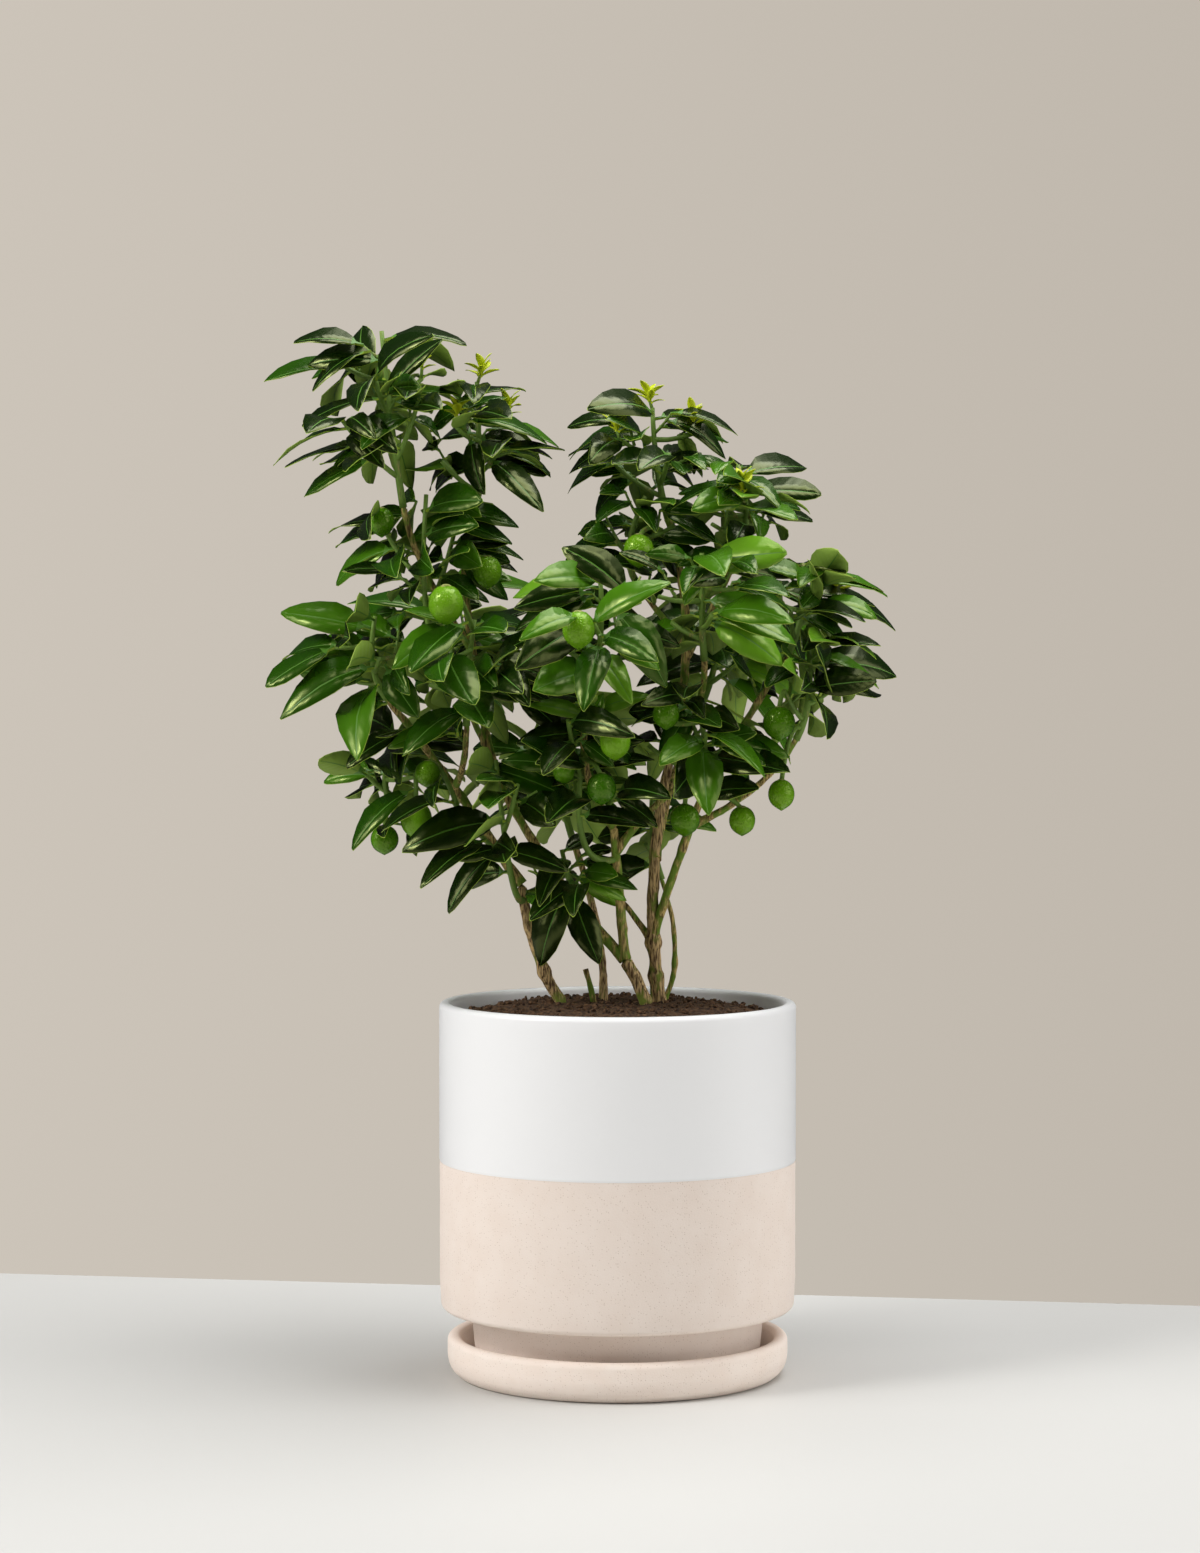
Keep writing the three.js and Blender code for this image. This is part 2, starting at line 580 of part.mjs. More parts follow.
function saucerGeometry() {
  const inner = SAUCER_RADIUS - SAUCER_WALL;
  return turned(
    [
      [0, 0],
      [SAUCER_RADIUS - 4 * SAUCER_EDGE, 0],
      [SAUCER_RADIUS - SAUCER_EDGE, 2.5 * SAUCER_EDGE],
      [SAUCER_RADIUS, 6 * SAUCER_EDGE],
      [SAUCER_RADIUS - 1, SAUCER_HEIGHT - SAUCER_EDGE],
      [SAUCER_RADIUS - 2 * SAUCER_EDGE, SAUCER_HEIGHT],
      [inner + SAUCER_EDGE, SAUCER_HEIGHT - 1],
      [inner, SAUCER_HEIGHT - 2.5 * SAUCER_EDGE],
      [inner - SAUCER_EDGE, SAUCER_FLOOR],
      [0, SAUCER_FLOOR],
    ],
    POT_SIDES,
  );
}

function soilGeometry() {
  const inner = POT_RADIUS - POT_WALL - CLEARANCE;
  const floor = POT_INSIDE_FLOOR + CLEARANCE;
  return turned(
    [
      [0, floor],
      [FOOT_RADIUS - 2 * POT_EDGE - 2 * CLEARANCE, floor],
      [inner, POT_INSIDE_CORNER + CLEARANCE],
      [inner, SOIL_EDGE],
      [SOIL_PLATEAU_RADIUS, SOIL_LEVEL],
      [0, SOIL_LEVEL],
    ],
    POT_SIDES,
  );
}

// Assembly
const tree = new THREE.Group();

function place(name, geometry, finish) {
  const mesh = new THREE.Mesh(geometry, new THREE.MeshStandardMaterial(finish));
  mesh.name = name;
  tree.add(mesh);
}

place("saucer", saucerGeometry(), COLOURS.stoneware);
place("pot", potGeometry(), COLOURS.glaze);
place("soil", soilGeometry(), COLOURS.soil);
for (const limb of limbs.values()) {
  const green = limb.radius[0] < 2.5;
  place(limb.name, geometryOf(boughSolid(limb)), green ? COLOURS.greenBark : COLOURS.bark);
}
for (const mass of MASSES) place(mass.name, geometryOf(massSolid(mass.grown)), COLOURS.leaf);

export default tree;
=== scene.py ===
"""A potted key lime tree, dressed over its frame.

The tree grows again by the rule and from the seeds of the frame's solids, and is carried on to finer twigs.
It gets barked stems, green twigs, leaves and limes, and stands in potting mix in a two-tone pot on a saucer.
"""

import json
import logging
import math
from dataclasses import dataclass, field
from enum import Enum
from typing import Callable, Sequence

import bmesh
import bpy
import numpy as np
from mathutils import Matrix, Vector, noise

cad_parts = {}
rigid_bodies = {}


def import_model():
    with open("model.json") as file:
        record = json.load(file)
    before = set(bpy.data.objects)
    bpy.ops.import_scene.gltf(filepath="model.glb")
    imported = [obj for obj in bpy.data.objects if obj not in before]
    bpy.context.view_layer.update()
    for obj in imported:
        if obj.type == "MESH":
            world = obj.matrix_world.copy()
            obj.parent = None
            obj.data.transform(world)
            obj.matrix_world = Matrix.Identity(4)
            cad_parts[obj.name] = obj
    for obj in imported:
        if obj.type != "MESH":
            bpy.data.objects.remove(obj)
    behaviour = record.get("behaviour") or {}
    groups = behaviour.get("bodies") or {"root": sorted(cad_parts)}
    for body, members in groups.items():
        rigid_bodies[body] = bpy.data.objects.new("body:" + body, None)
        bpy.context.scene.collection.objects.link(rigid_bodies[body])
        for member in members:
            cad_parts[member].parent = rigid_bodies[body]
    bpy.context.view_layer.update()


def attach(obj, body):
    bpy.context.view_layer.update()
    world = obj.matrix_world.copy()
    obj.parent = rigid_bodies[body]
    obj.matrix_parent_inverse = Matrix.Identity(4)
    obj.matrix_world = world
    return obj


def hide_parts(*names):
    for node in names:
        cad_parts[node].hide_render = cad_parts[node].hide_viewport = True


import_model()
LOG = logging.getLogger("key_lime_tree")
BODY = "root"
MM = 0.001

# Driving dimensions, in millimetres as in the frame's source
POT_RADIUS = 122.0
POT_TOP = 255.0
GLAZE_LINE = 147.5
SOIL_LEVEL = 253.0
CLEARANCE = 0.3  # between a limb and the main shoot that it carries
LEAF_LENGTH = 60.0
LEAF_SPACING = 10.5  # along a shoot
BARE_START = 5.0  # the length at a shoot's start that has no leaves
LEAF_ROOM = 1.8  # between two leaves of one mass
STALK_HALF = 1.2  # the least that a leaf counts for to each side
BEAD_ROOM = 1.2  # between a leaf and a limb, shoot or lime
ROOT_ROOM = 7.0  # how near its root a leaf may touch its own shoot
TWIG_RADIUS = 2.0
SHOOT_STEP = 34.0  # about one straight length of a shoot
CELL_MARGIN = 0.6  # from the planes between masses
CROWN_AXIS = (-20.0, 60.0)  # where the leaves of the whole crown turn away from
LEVEL_LEAVES = (440.0, 620.0)  # the heights between which leaves come to lie more level
SHORTEST_SHOOT = 12.0  # a side shoot that would be shorter is left out
MAIN_RADII = (TWIG_RADIUS * 1.3, TWIG_RADIUS * 0.75)
SIDE_RADII = (TWIG_RADIUS * 0.95, TWIG_RADIUS * 0.75)
STALK_RADII = (TWIG_RADIUS * 0.9, TWIG_RADIUS * 0.8)
STALK_ARCH = 5.0  # how far a lime's stalk rises before it hangs

# The plant's habit, as shares and directions
CREST = 0.75  # how far up in its mass the main shoot ends
LEAVING = 0.4  # how long the main shoot keeps the direction in which it leaves its limb
SIDE_STARTS = (0.12, 0.8)  # the part of the main shoot that carries side shoots
SIDE_LIFTS = (-0.7, 0.8)  # how far up the lowest and the highest side shoot run
SIDE_SAG = 0.12  # a side shoot's sag over its length
LEAF_ASPECT = 0.46
GOLDEN_ANGLE = math.pi * (3 - math.sqrt(5))
TO_LIGHT = (-0.2, -0.8, 0.0)
BARE_SHARE = 0.04  # how much of a leaf, from its root, may touch others
LEAF_SEARCH = 1.9  # how many leaf lengths away another leaf may still be in the way
BLADE_OVERHANG = 1.4  # how far past a mass's reach a blade may stand
TIP_OVERHANG = 1.65
SIDE_SHARES = (0.6, 0.45, 0.3)  # how far into the mass a side shoot tries to run
LEAF_SHARES = (1, 0.85, 0.7)  # the sizes that a leaf is tried at
TRIES_A_SIZE = 4
TRY_TURN = 0.65  # how far a leaf turns from one try to the next, over the golden angle
LEAF_SIZES = (1.15, 0.95)  # leaves over a full one, from a shoot's start to its tip
LEAF_CHANCE = (0.85, 1.12)  # what chance makes of a leaf's size
LEAF_SPREADS = (1.35, 0.75)  # a leaf's angle from its shoot, from the shoot's start to its tip
OUTWARDS = 0.4  # how much a leaf points out of its mass
FLATTENED = 0.45  # how much of its rise a leaf keeps
DROOP = 0.12
MOST_LEAVES = 4000
OLD_RADIUS = 2.5  # a stem that is thicker than this at its foot has its old bark

# What is added to a mass's seed for each of its other streams of numbers
TONE_STREAM, FINER_STREAM, POSE_STREAM = 200, 400, 900

# The colours of a mix node are reached by their place, because other inputs share their names
SHARE, COLOUR_A, COLOUR_B = 0, 6, 7
MIXED = 2

Point = np.ndarray
Input = bpy.types.NodeSocket | float | tuple[float, ...]
RadiusAt = Callable[[np.ndarray], np.ndarray]


def mix(a: float, b: float, t: float) -> float:
    """The value a share t of the way from a to b."""
    return a + (b - a) * t


def unit(v: Point) -> Point:
    """The direction of a vector."""
    return v / np.linalg.norm(v)


class Numbers:
    """A repeatable stream of numbers from 0 to 1, the same as the source's."""

    def __init__(self, seed: int) -> None:
        """Start the stream from a seed."""
        self.state = seed * 7919 + 1

    def next(self) -> float:
        """The next number."""
        self.state = self.state * 48271 % 2147483647
        return self.state / 2147483647


@dataclass
class Curve:
    """A curve from start to end that leans towards handle, in millimetres."""

    start: Point
    handle: Point
    end: Point

    @staticmethod
    def through(start: Point, via: Point, end: Point) -> "Curve":
        """The curve from start to end that is at via halfway."""
        return Curve(start, 2 * via - (start + end) / 2, end)

    def at(self, t: float | np.ndarray) -> Point:
        """The point or points at the shares t of the curve."""
        t = np.asarray(t, float)[..., None]
        return (1 - t) ** 2 * self.start + 2 * (1 - t) * t * self.handle + t**2 * self.end

    def heading(self, t: float | np.ndarray) -> Point:
        """The direction of the curve.

        Args:
            t: one or more shares of the curve.

        Returns:
            The direction or directions, of length 1.
        """
        t = np.asarray(t, float)[..., None]
        slope = (1 - t) * (self.handle - self.start) + t * (self.end - self.handle)
        return slope / np.linalg.norm(slope, axis=-1, keepdims=True)

    def length(self) -> float:
        """The length along the curve."""
        points = self.at(np.linspace(0, 1, 201))
        return float(np.linalg.norm(np.diff(points, axis=0), axis=1).sum())

    def square(self, t: float | np.ndarray) -> tuple[Point, Point]:
        """Two directions square to the curve, steady along it.

        Args:
            t: one or more shares of the curve.

        Returns:
            The two directions, square to each other too.
        """
        steady = np.zeros(3)
        steady[np.argmin(np.abs(self.end - self.start))] = 1
        tangent = self.heading(t)
        side = np.cross(tangent, steady)
        side = side / np.linalg.norm(side, axis=-1, keepdims=True)
        return side, np.cross(side, tangent)


@dataclass(frozen=True)
class LimbSpec:
    """Where a limb runs. It leaves the soil at foot, or its parent at a share of the parent's length."""

    name: str
    via: Sequence[float]
    tip: Sequence[float]
    radius: tuple[float, float]
    foot: Sequence[float] | None = None
    parent: str = ""
    at: float = 1.0
    knots: Sequence[tuple[float, float]] = ()  # each as its share of the length and its swelling
    cut: bool = False  # whether its tip was cut off flat

    @property
    def old(self) -> bool:
        """Whether it is a stem that has its old bark."""
        return not self.parent and self.radius[0] > OLD_RADIUS


@dataclass(frozen=True)
class MassSpec:
    """A mass of foliage: what it grows on, its space, and its limes as centre x, y, z and radius."""

    name: str
    on: str
    centre: Sequence[float]
    reach: Sequence[float]
    shoots: int
    seed: int
    at: float | None = None
    limes: Sequence[Sequence[float]] = ()
    new_growth: Sequence[int] = ()  # the shoots that end in new growth, the main one first


LIMBS = (
    LimbSpec("stem_left", (-55, 6, 287), (-66, 2, 335), (3.5, 3.5), foot=(-38, 8),
             knots=((0.34, 1.7), (0.7, 0.8))),
    LimbSpec("stem_stub", (-19, 23, 264), (-22, 24, 275), (1.8, 1.6), foot=(-16, 22), cut=True),
    LimbSpec("stem_back", (-14, 40, 303), (-32, 56, 366), (2.7, 2.2), foot=(-10, 34)),
    LimbSpec("stem_middle", (13, -2, 269), (5, -2, 284), (3.9, 3.9), foot=(20, -2), knots=((0.95, 0.5),)),
    LimbSpec("stem_main", (25, 12, 342), (40, 14, 440), (4.5, 3.0), foot=(29, 14),
             knots=((0.1, 1.3), (0.24, 1.8))),
    LimbSpec("stem_shoot", (40, 32, 290), (30, 38, 338), (1.8, 1.4), foot=(33, 30), knots=((0.36, 0.8),)),
    LimbSpec("bough_plume", (-42, 8, 340), (-84, 14, 410), (3.3, 3.0), parent="stem_middle",
             knots=((0.3, 1.2),)),
    LimbSpec("bough_leader", (-96, 12, 470), (-104, 6, 535), (3.0, 2.5), parent="bough_plume"),
    LimbSpec("bough_plume_left", (-131, -1, 548), (-146, -8, 594), (2.3, 1.9), parent="bough_leader", at=0.7),
    LimbSpec("bough_plume_right", (-104, 7, 562), (-100, 10, 590), (2.3, 1.9), parent="bough_leader"),
    LimbSpec("bough_middle", (1, -8, 330), (-3, -20, 376), (3.3, 2.8), parent="stem_middle"),
    LimbSpec("bough_heart", (-22, -44, 420), (-17, -56, 472), (2.6, 2.1), parent="bough_middle"),
    LimbSpec("bough_crown", (47, 22, 512), (34, 22, 588), (3.1, 2.2), parent="stem_main"),
    LimbSpec("bough_shoulder", (68, 12, 530), (84, 4, 564), (2.3, 1.8), parent="bough_crown", at=0.35),
    LimbSpec("bough_crown_left", (26, 18, 524), (12, 12, 543), (2.2, 1.7), parent="bough_crown", at=0.4),
    LimbSpec("bough_heart_right", (54, -14, 455), (58, -34, 490), (2.6, 1.9), parent="stem_main", at=0.9),
    LimbSpec("bough_right", (41, 4, 350), (59, 0, 398), (3.0, 2.6), parent="stem_main", at=0.26),
    LimbSpec("bough_inner", (10, 17, 314), (-6, 20, 330), (2.1, 1.6), parent="stem_main", at=0.22),
    LimbSpec("bough_right_arm", (90, -2, 450), (116, -2, 492), (2.7, 2.0), parent="bough_right"),
    LimbSpec("bough_right_low", (94, -10, 402), (122, -17, 436), (2.4, 1.8), parent="bough_right", at=0.75),
    LimbSpec("bough_skirt_right", (24, -20, 388), (46, -24, 404), (2.4, 1.8), parent="bough_middle", at=0.8),
    LimbSpec("bough_back", (40, 50, 410), (58, 74, 454), (3.0, 2.1), parent="stem_main", at=0.55),
    LimbSpec("bough_left_arch", (-116, -6, 408), (-158, -18, 464), (3.3, 2.2), parent="stem_left"),
    LimbSpec("bough_left_low", (-118, 8, 368), (-152, 10, 386), (2.4, 1.8), parent="bough_left_arch", at=0.3),
    LimbSpec("bough_left_heart", (-104, -24, 420), (-102, -34, 446), (2.3, 1.8), parent="bough_left_arch",
             at=0.45),
    LimbSpec("bough_left_back", (-88, 46, 420), (-106, 66, 458), (2.6, 2.0), parent="bough_plume", at=0.85),
)

MASSES = (
    MassSpec("plume_top_left", "bough_plume_left", (-160, -12, 666), (50, 50, 60), 6, 795, new_growth=(5,)),
    MassSpec("plume_top_right", "bough_plume_right", (-96, 4, 636), (40, 48, 56), 5, 823,
             new_growth=(0, 4, 5)),
    MassSpec("plume_middle", "bough_leader", (-130, -10, 566), (50, 52, 46), 5, 140, at=0.55,
             limes=((-160, -16, 582, 8.8), (-88, -22, 548, 9.8))),
    MassSpec("left_arm", "bough_left_arch", (-164, -22, 485), (48, 50, 44), 4, 912),
    MassSpec("left_heart", "bough_left_heart", (-96, -44, 476), (52, 50, 52), 5, 225,
             limes=((-114, -70, 525, 11.8),)),
    MassSpec("left_low", "bough_left_low", (-146, 6, 412), (44, 48, 44), 3, 407,
             limes=((-159, -4, 366, 9.6), (-137, -12, 380, 10.9))),
    MassSpec("left_skirt", "stem_left", (-82, -36, 388), (50, 48, 44), 4, 116, at=0.9,
             limes=((-128, -40, 412, 8.6),)),
    MassSpec("left_back", "bough_left_back", (-118, 88, 500), (57, 53, 62), 4, 75,
             limes=((-80, 130, 470, 10),)),
    MassSpec("crown_top", "bough_crown", (24, 20, 630), (48, 48, 42), 5, 81, new_growth=(0, 4, 5)),
    MassSpec("crown_shoulder", "bough_shoulder", (82, 0, 588), (42, 50, 44), 5, 672, new_growth=(4,)),
    MassSpec("crown_left", "bough_crown_left", (19, 4, 570), (38, 50, 40), 4, 849,
             limes=((14, -36, 562, 10.2),)),
    MassSpec("heart_front", "bough_heart", (-12, -62, 506), (52, 52, 50), 5, 620,
             limes=((-26, -100, 508, 10.8),)),
    MassSpec("heart_right", "bough_heart_right", (56, -50, 522), (50, 52, 50), 5, 412),
    MassSpec("right_arm", "bough_right_arm", (126, 0, 526), (44, 50, 38), 4, 908, new_growth=(2,)),
    MassSpec("right_low", "bough_right_low", (128, -20, 474), (46, 50, 40), 4, 655,
             limes=((108, -46, 446, 10.9), (110, -38, 398, 8.9))),
    MassSpec("skirt_middle", "bough_middle", (-16, -40, 432), (52, 52, 50), 4, 514, at=0.75,
             limes=((-2, -80, 434, 10.3), (-11, -70, 403, 9.9), (-36, -60, 414, 7.6))),
    MassSpec("skirt_right", "bough_skirt_right", (48, -34, 438), (50, 50, 46), 4, 699,
             limes=((45, -40, 381, 10.2), (84, -30, 380, 8.9), (32, -62, 452, 9))),
    MassSpec("right_back", "bough_back", (74, 96, 514), (65, 57, 65), 4, 853,
             limes=((104, 140, 470, 10.5), (40, 150, 500, 9.5))),
    MassSpec("skirt_back", "stem_back", (-36, 84, 424), (57, 52, 52), 3, 299,
             limes=((-60, 120, 384, 9.8), (8, 116, 396, 9))),
    MassSpec("foot_leaves", "bough_plume", (-38, -16, 334), (40, 42, 34), 3, 980, at=0.35),
    MassSpec("inner_sprig", "stem_shoot", (24, 46, 366), (34, 34, 36), 2, 751),
)


# Finishes

def linear(hex_colour: str) -> tuple[float, float, float, float]:
    """Turn an sRGB hex colour to linear.

    Args:
        hex_colour: the colour as six hex digits.

    Returns:
        Its linear red, green and blue, and an alpha of 1.
    """
    parts = [int(hex_colour[i : i + 2], 16) / 255 for i in (0, 2, 4)]
    red, green, blue = (c / 12.92 if c <= 0.04045 else ((c + 0.055) / 1.055) ** 2.4 for c in parts)
    return red, green, blue, 1.0


def add(
    tree: bpy.types.NodeTree, kind: str, inputs: dict | None = None, **settings: object
) -> bpy.types.Node:
    """Add a node to a tree.

    Args:
        tree: the node tree.
        kind: the node's type after "ShaderNode".
        inputs: for each input's name or index, a socket to link from or a value.
        settings: the node's own properties.

    Returns:
        The new node.
    """
    made = tree.nodes.new("ShaderNode" + kind)
    for name, value in settings.items():
        setattr(made, name, value)
    for key, value in (inputs or {}).items():
        if isinstance(value, bpy.types.NodeSocket):
            tree.links.new(value, made.inputs[key])
        else:
            made.inputs[key].default_value = value
    return made


def blend(tree: bpy.types.NodeTree, share: Input, first: Input, second: Input) -> bpy.types.NodeSocket:
    """Mix two colours.

    Args:
        tree: the node tree.
        share: the share of the second colour.
        first: the first colour.
        second: the second colour.

    Returns:
        The mixed colour.
    """
    made = add(tree, "Mix", {SHARE: share, COLOUR_A: first, COLOUR_B: second}, data_type="RGBA")
    return made.outputs[MIXED]


def spread_out(
    tree: bpy.types.NodeTree, value: Input, low: float, high: float, to: tuple[float, float] = (0.0, 1.0)
) -> bpy.types.NodeSocket:
    """Spread a range of a value out over another range.

    Args:
        tree: the node tree.
        value: the value.
        low: the value that becomes the first end of the new range.
        high: the value that becomes its second end.
        to: the two ends of the new range.

    Returns:
        The new value, kept between the two ends.
    """
    ends = {"From Min": low, "From Max": high, "To Min": to[0], "To Max": to[1]}
    return add(tree, "MapRange", {"Value": value, **ends}).outputs["Result"]


def reckon(tree: bpy.types.NodeTree, operation: str, *values: Input) -> bpy.types.NodeSocket:
    """Add, multiply or otherwise reckon with values.

    Args:
        tree: the node tree.
        operation: the name of what is done.
        values: one to three values.

    Returns:
        The outcome.
    """
    return add(tree, "Math", dict(enumerate(values)), operation=operation).outputs[0]


def mottle(
    tree: bpy.types.NodeTree, place: bpy.types.NodeSocket, size: float, detail: float = 2.0
) -> bpy.types.NodeSocket:
    """Add an uneven pattern.

    Args:
        tree: the node tree.
        place: the place that the pattern is read at.
        size: the size of its cells in millimetres.
        detail: how many finer patterns lie over it.

    Returns:
        A value from 0 to 1.
    """
    inputs = {"Vector": place, "Scale": 1 / (size * MM), "Detail": detail}
    return add(tree, "TexNoise", inputs).outputs[0]


def relief(
    tree: bpy.types.NodeTree, height: bpy.types.NodeSocket, depth: float, strength: float,
    under: bpy.types.NodeSocket | None = None, sunk: bool = False,
) -> bpy.types.NodeSocket:
    """Add relief that isn't in the mesh.

    Args:
        tree: the node tree.
        height: its height from 0 to 1.
        depth: what a height of 1 stands for, in millimetres.
        strength: how much of it shows.
        under: relief that it lies on.
        sunk: whether it goes into the surface.

    Returns:
        The surface's direction.
    """
    inputs = {"Strength": strength, "Distance": depth * MM, "Height": height}
    if under:
        inputs["Normal"] = under
    return add(tree, "Bump", inputs, invert=sunk).outputs[0]


def dressed(name: str, surface: dict) -> tuple[bpy.types.Material, bpy.types.NodeTree, bpy.types.Node]:
    """Start a material with its shader.

    Args:
        name: the material's name.
        surface: the shader's values that are the same all over.

    Returns:
        The material, its tree and its shader.
    """
    material = bpy.data.materials.new(name)
    material.use_nodes = True
    tree = material.node_tree
    tree.nodes.clear()
    shader = add(tree, "BsdfPrincipled", surface)
    add(tree, "OutputMaterial", {"Surface": shader.outputs[0]})
    return material, tree, shader


@dataclass(frozen=True)
class CitrusLeaf:
    """The waxy skin of a citrus leaf: a smooth gloss over blades that swell between their side veins."""

    name: str
    colour: str
    roughness: float = 0.27
    ior: float = 1.57
    wax: str = "f2ffa0"  # the tint of its shine
    vein_pairs: float = 9.0
    vein_slant: float = 0.34  # how far forwards a side vein runs, as a share of the length
    vein_share: float = 0.13  # the side veins' height over the swell of each half
    vein_depth: float = 0.3  # millimetres, drawn deeper than the real 0.1 so that it shows

    def material(self) -> bpy.types.Material:
        """Draw side veins that leave the midrib forwards, as relief on the leaf's own map.

        Returns:
            The material.
        """
        surface = {"Base Color": linear(self.colour), "Roughness": self.roughness, "IOR": self.ior,
                   "Specular Tint": linear(self.wax)}
        material, tree, shader = dressed(self.name, surface)
        place = add(tree, "UVMap")
        split = add(tree, "SeparateXYZ", {0: place.outputs[0]})
        half = reckon(tree, "ABSOLUTE", reckon(tree, "SUBTRACT", split.outputs[1], 0.5))
        run = reckon(tree, "SUBTRACT", split.outputs[0], reckon(tree, "MULTIPLY", half, self.vein_slant))
        ripple = reckon(tree, "SINE", reckon(tree, "MULTIPLY", run, 2 * math.pi * self.vein_pairs))
        pillow = reckon(tree, "SINE", reckon(tree, "MULTIPLY", half, 2 * math.pi))
        height = reckon(tree, "MULTIPLY_ADD", ripple, self.vein_share, pillow)
        tree.links.new(relief(tree, height, self.vein_depth, strength=0.8), shader.inputs["Normal"])
        return material


@dataclass(frozen=True)
class PlainSkin:
    """A small plain part such as a midrib, a leaf's edge or a calyx: one colour with a fine uneven grain."""

    name: str
    colour: str
    roughness: float
    grain: float = 0.8  # millimetres

    def material(self) -> bpy.types.Material:
        """Give one colour a faint relief.

        Returns:
            The material.
        """
        surface = {"Base Color": linear(self.colour), "Roughness": self.roughness, "IOR": 1.45}
        material, tree, shader = dressed(self.name, surface)
        speck = mottle(tree, add(tree, "TexCoord").outputs["Object"], self.grain)
        tree.links.new(relief(tree, speck, depth=0.1, strength=0.3), shader.inputs["Normal"])
        return material


@dataclass(frozen=True)
class CitrusBark:
    """Young citrus bark: tan cork in fine lengthwise streaks, with the green bark showing between."""

    name: str
    cork: str
    # the dark brown of the bark's cracks, with painted shade, laid in the hollows of the streaks' relief
    cracks_and_shade: str
    green: str
    green_share: float  # 0 is all cork and 1 all green
    roughness: float = 0.78
    streak: float = 10 / 9  # millimetres across
    streak_shape: float = 0.12  # a streak's width over its length
    patch: float = 6.25  # millimetres across
    patch_shape: float = 0.45  # a patch's width over its length
    relief: float = 0.6  # millimetres

    def material(self) -> bpy.types.Material:
        """Draw cork streaks about 9 mm long, dark brown in their hollows as the bark's cracks with painted
        shade, left out in patches about 14 mm long.

        Returns:
            The material.
        """
        material, tree, shader = dressed(self.name, {"Roughness": self.roughness, "IOR": 1.45})
        place = add(tree, "TexCoord").outputs["Object"]
        stretched = add(tree, "Mapping", {"Vector": place, "Scale": (1, 1, self.streak_shape)})
        streak = mottle(tree, stretched.outputs[0], self.streak, 4.0)
        patched = add(tree, "Mapping", {"Vector": place, "Scale": (1, 1, self.patch_shape)})
        patch = mottle(tree, patched.outputs[0], self.patch, 3.0)
        edge = mix(0.72, 0.28, self.green_share)
        lines = spread_out(tree, streak, 0.4, 0.6)
        # the low parts of the streaks take the dark brown: the cracks' own colour and painted shade
        cork = blend(tree, lines, linear(self.cracks_and_shade), linear(self.cork))
        where = spread_out(tree, patch, edge - 0.06, edge + 0.06)
        whole = blend(tree, where, cork, linear(self.green))
        tree.links.new(whole, shader.inputs["Base Color"])
        tree.links.new(relief(tree, streak, self.relief, strength=1.0), shader.inputs["Normal"])
        return material


@dataclass(frozen=True)
class LimePeel:
    """The rind of an unripe lime: a waxy green skin dimpled by oil glands about a millimetre apart."""

    name: str
    colour: str
    roughness: float = 0.2
    ior: float = 1.56
    wax: str = "f2ffa0"  # the tint of its shine
    gland_spacing: float = 1.5  # millimetres, a little coarser than the real 1 so that it shows

    def material(self) -> bpy.types.Material:
        """Dimple a plain green.

        Returns:
            The material.
        """
        surface = {"Base Color": linear(self.colour), "Roughness": self.roughness, "IOR": self.ior,
                   "Specular Tint": linear(self.wax)}
        material, tree, shader = dressed(self.name, surface)
        place = add(tree, "TexCoord").outputs["Object"]
        glands = add(tree, "TexVoronoi", {"Vector": place, "Scale": 1 / (self.gland_spacing * MM)})
        dimple = spread_out(tree, glands.outputs["Distance"], 0.05, 0.45)
        tree.links.new(relief(tree, dimple, depth=0.35, strength=0.9), shader.inputs["Normal"])
        return material


@dataclass(frozen=True)
class SatinGlaze:
    """White satin glaze on stoneware: an even white with a soft shine that breaks over slight waves."""

    name: str
    colour: str
    roughness: float = 0.36
    wave: float = 25.0  # millimetres
    peel: float = 2.0  # millimetres

    def material(self) -> bpy.types.Material:
        """Lay a faint orange peel over slight waves.

        Returns:
            The material.
        """
        surface = {"Base Color": linear(self.colour), "Roughness": self.roughness, "IOR": 1.5}
        material, tree, shader = dressed(self.name, surface)
        place = add(tree, "TexCoord").outputs["Object"]
        waves = relief(tree, mottle(tree, place, self.wave, 1.0), depth=0.6, strength=0.25)
        peel = relief(tree, mottle(tree, place, self.peel, 1.0), depth=0.05, strength=0.15, under=waves)
        tree.links.new(peel, shader.inputs["Normal"])
        return material


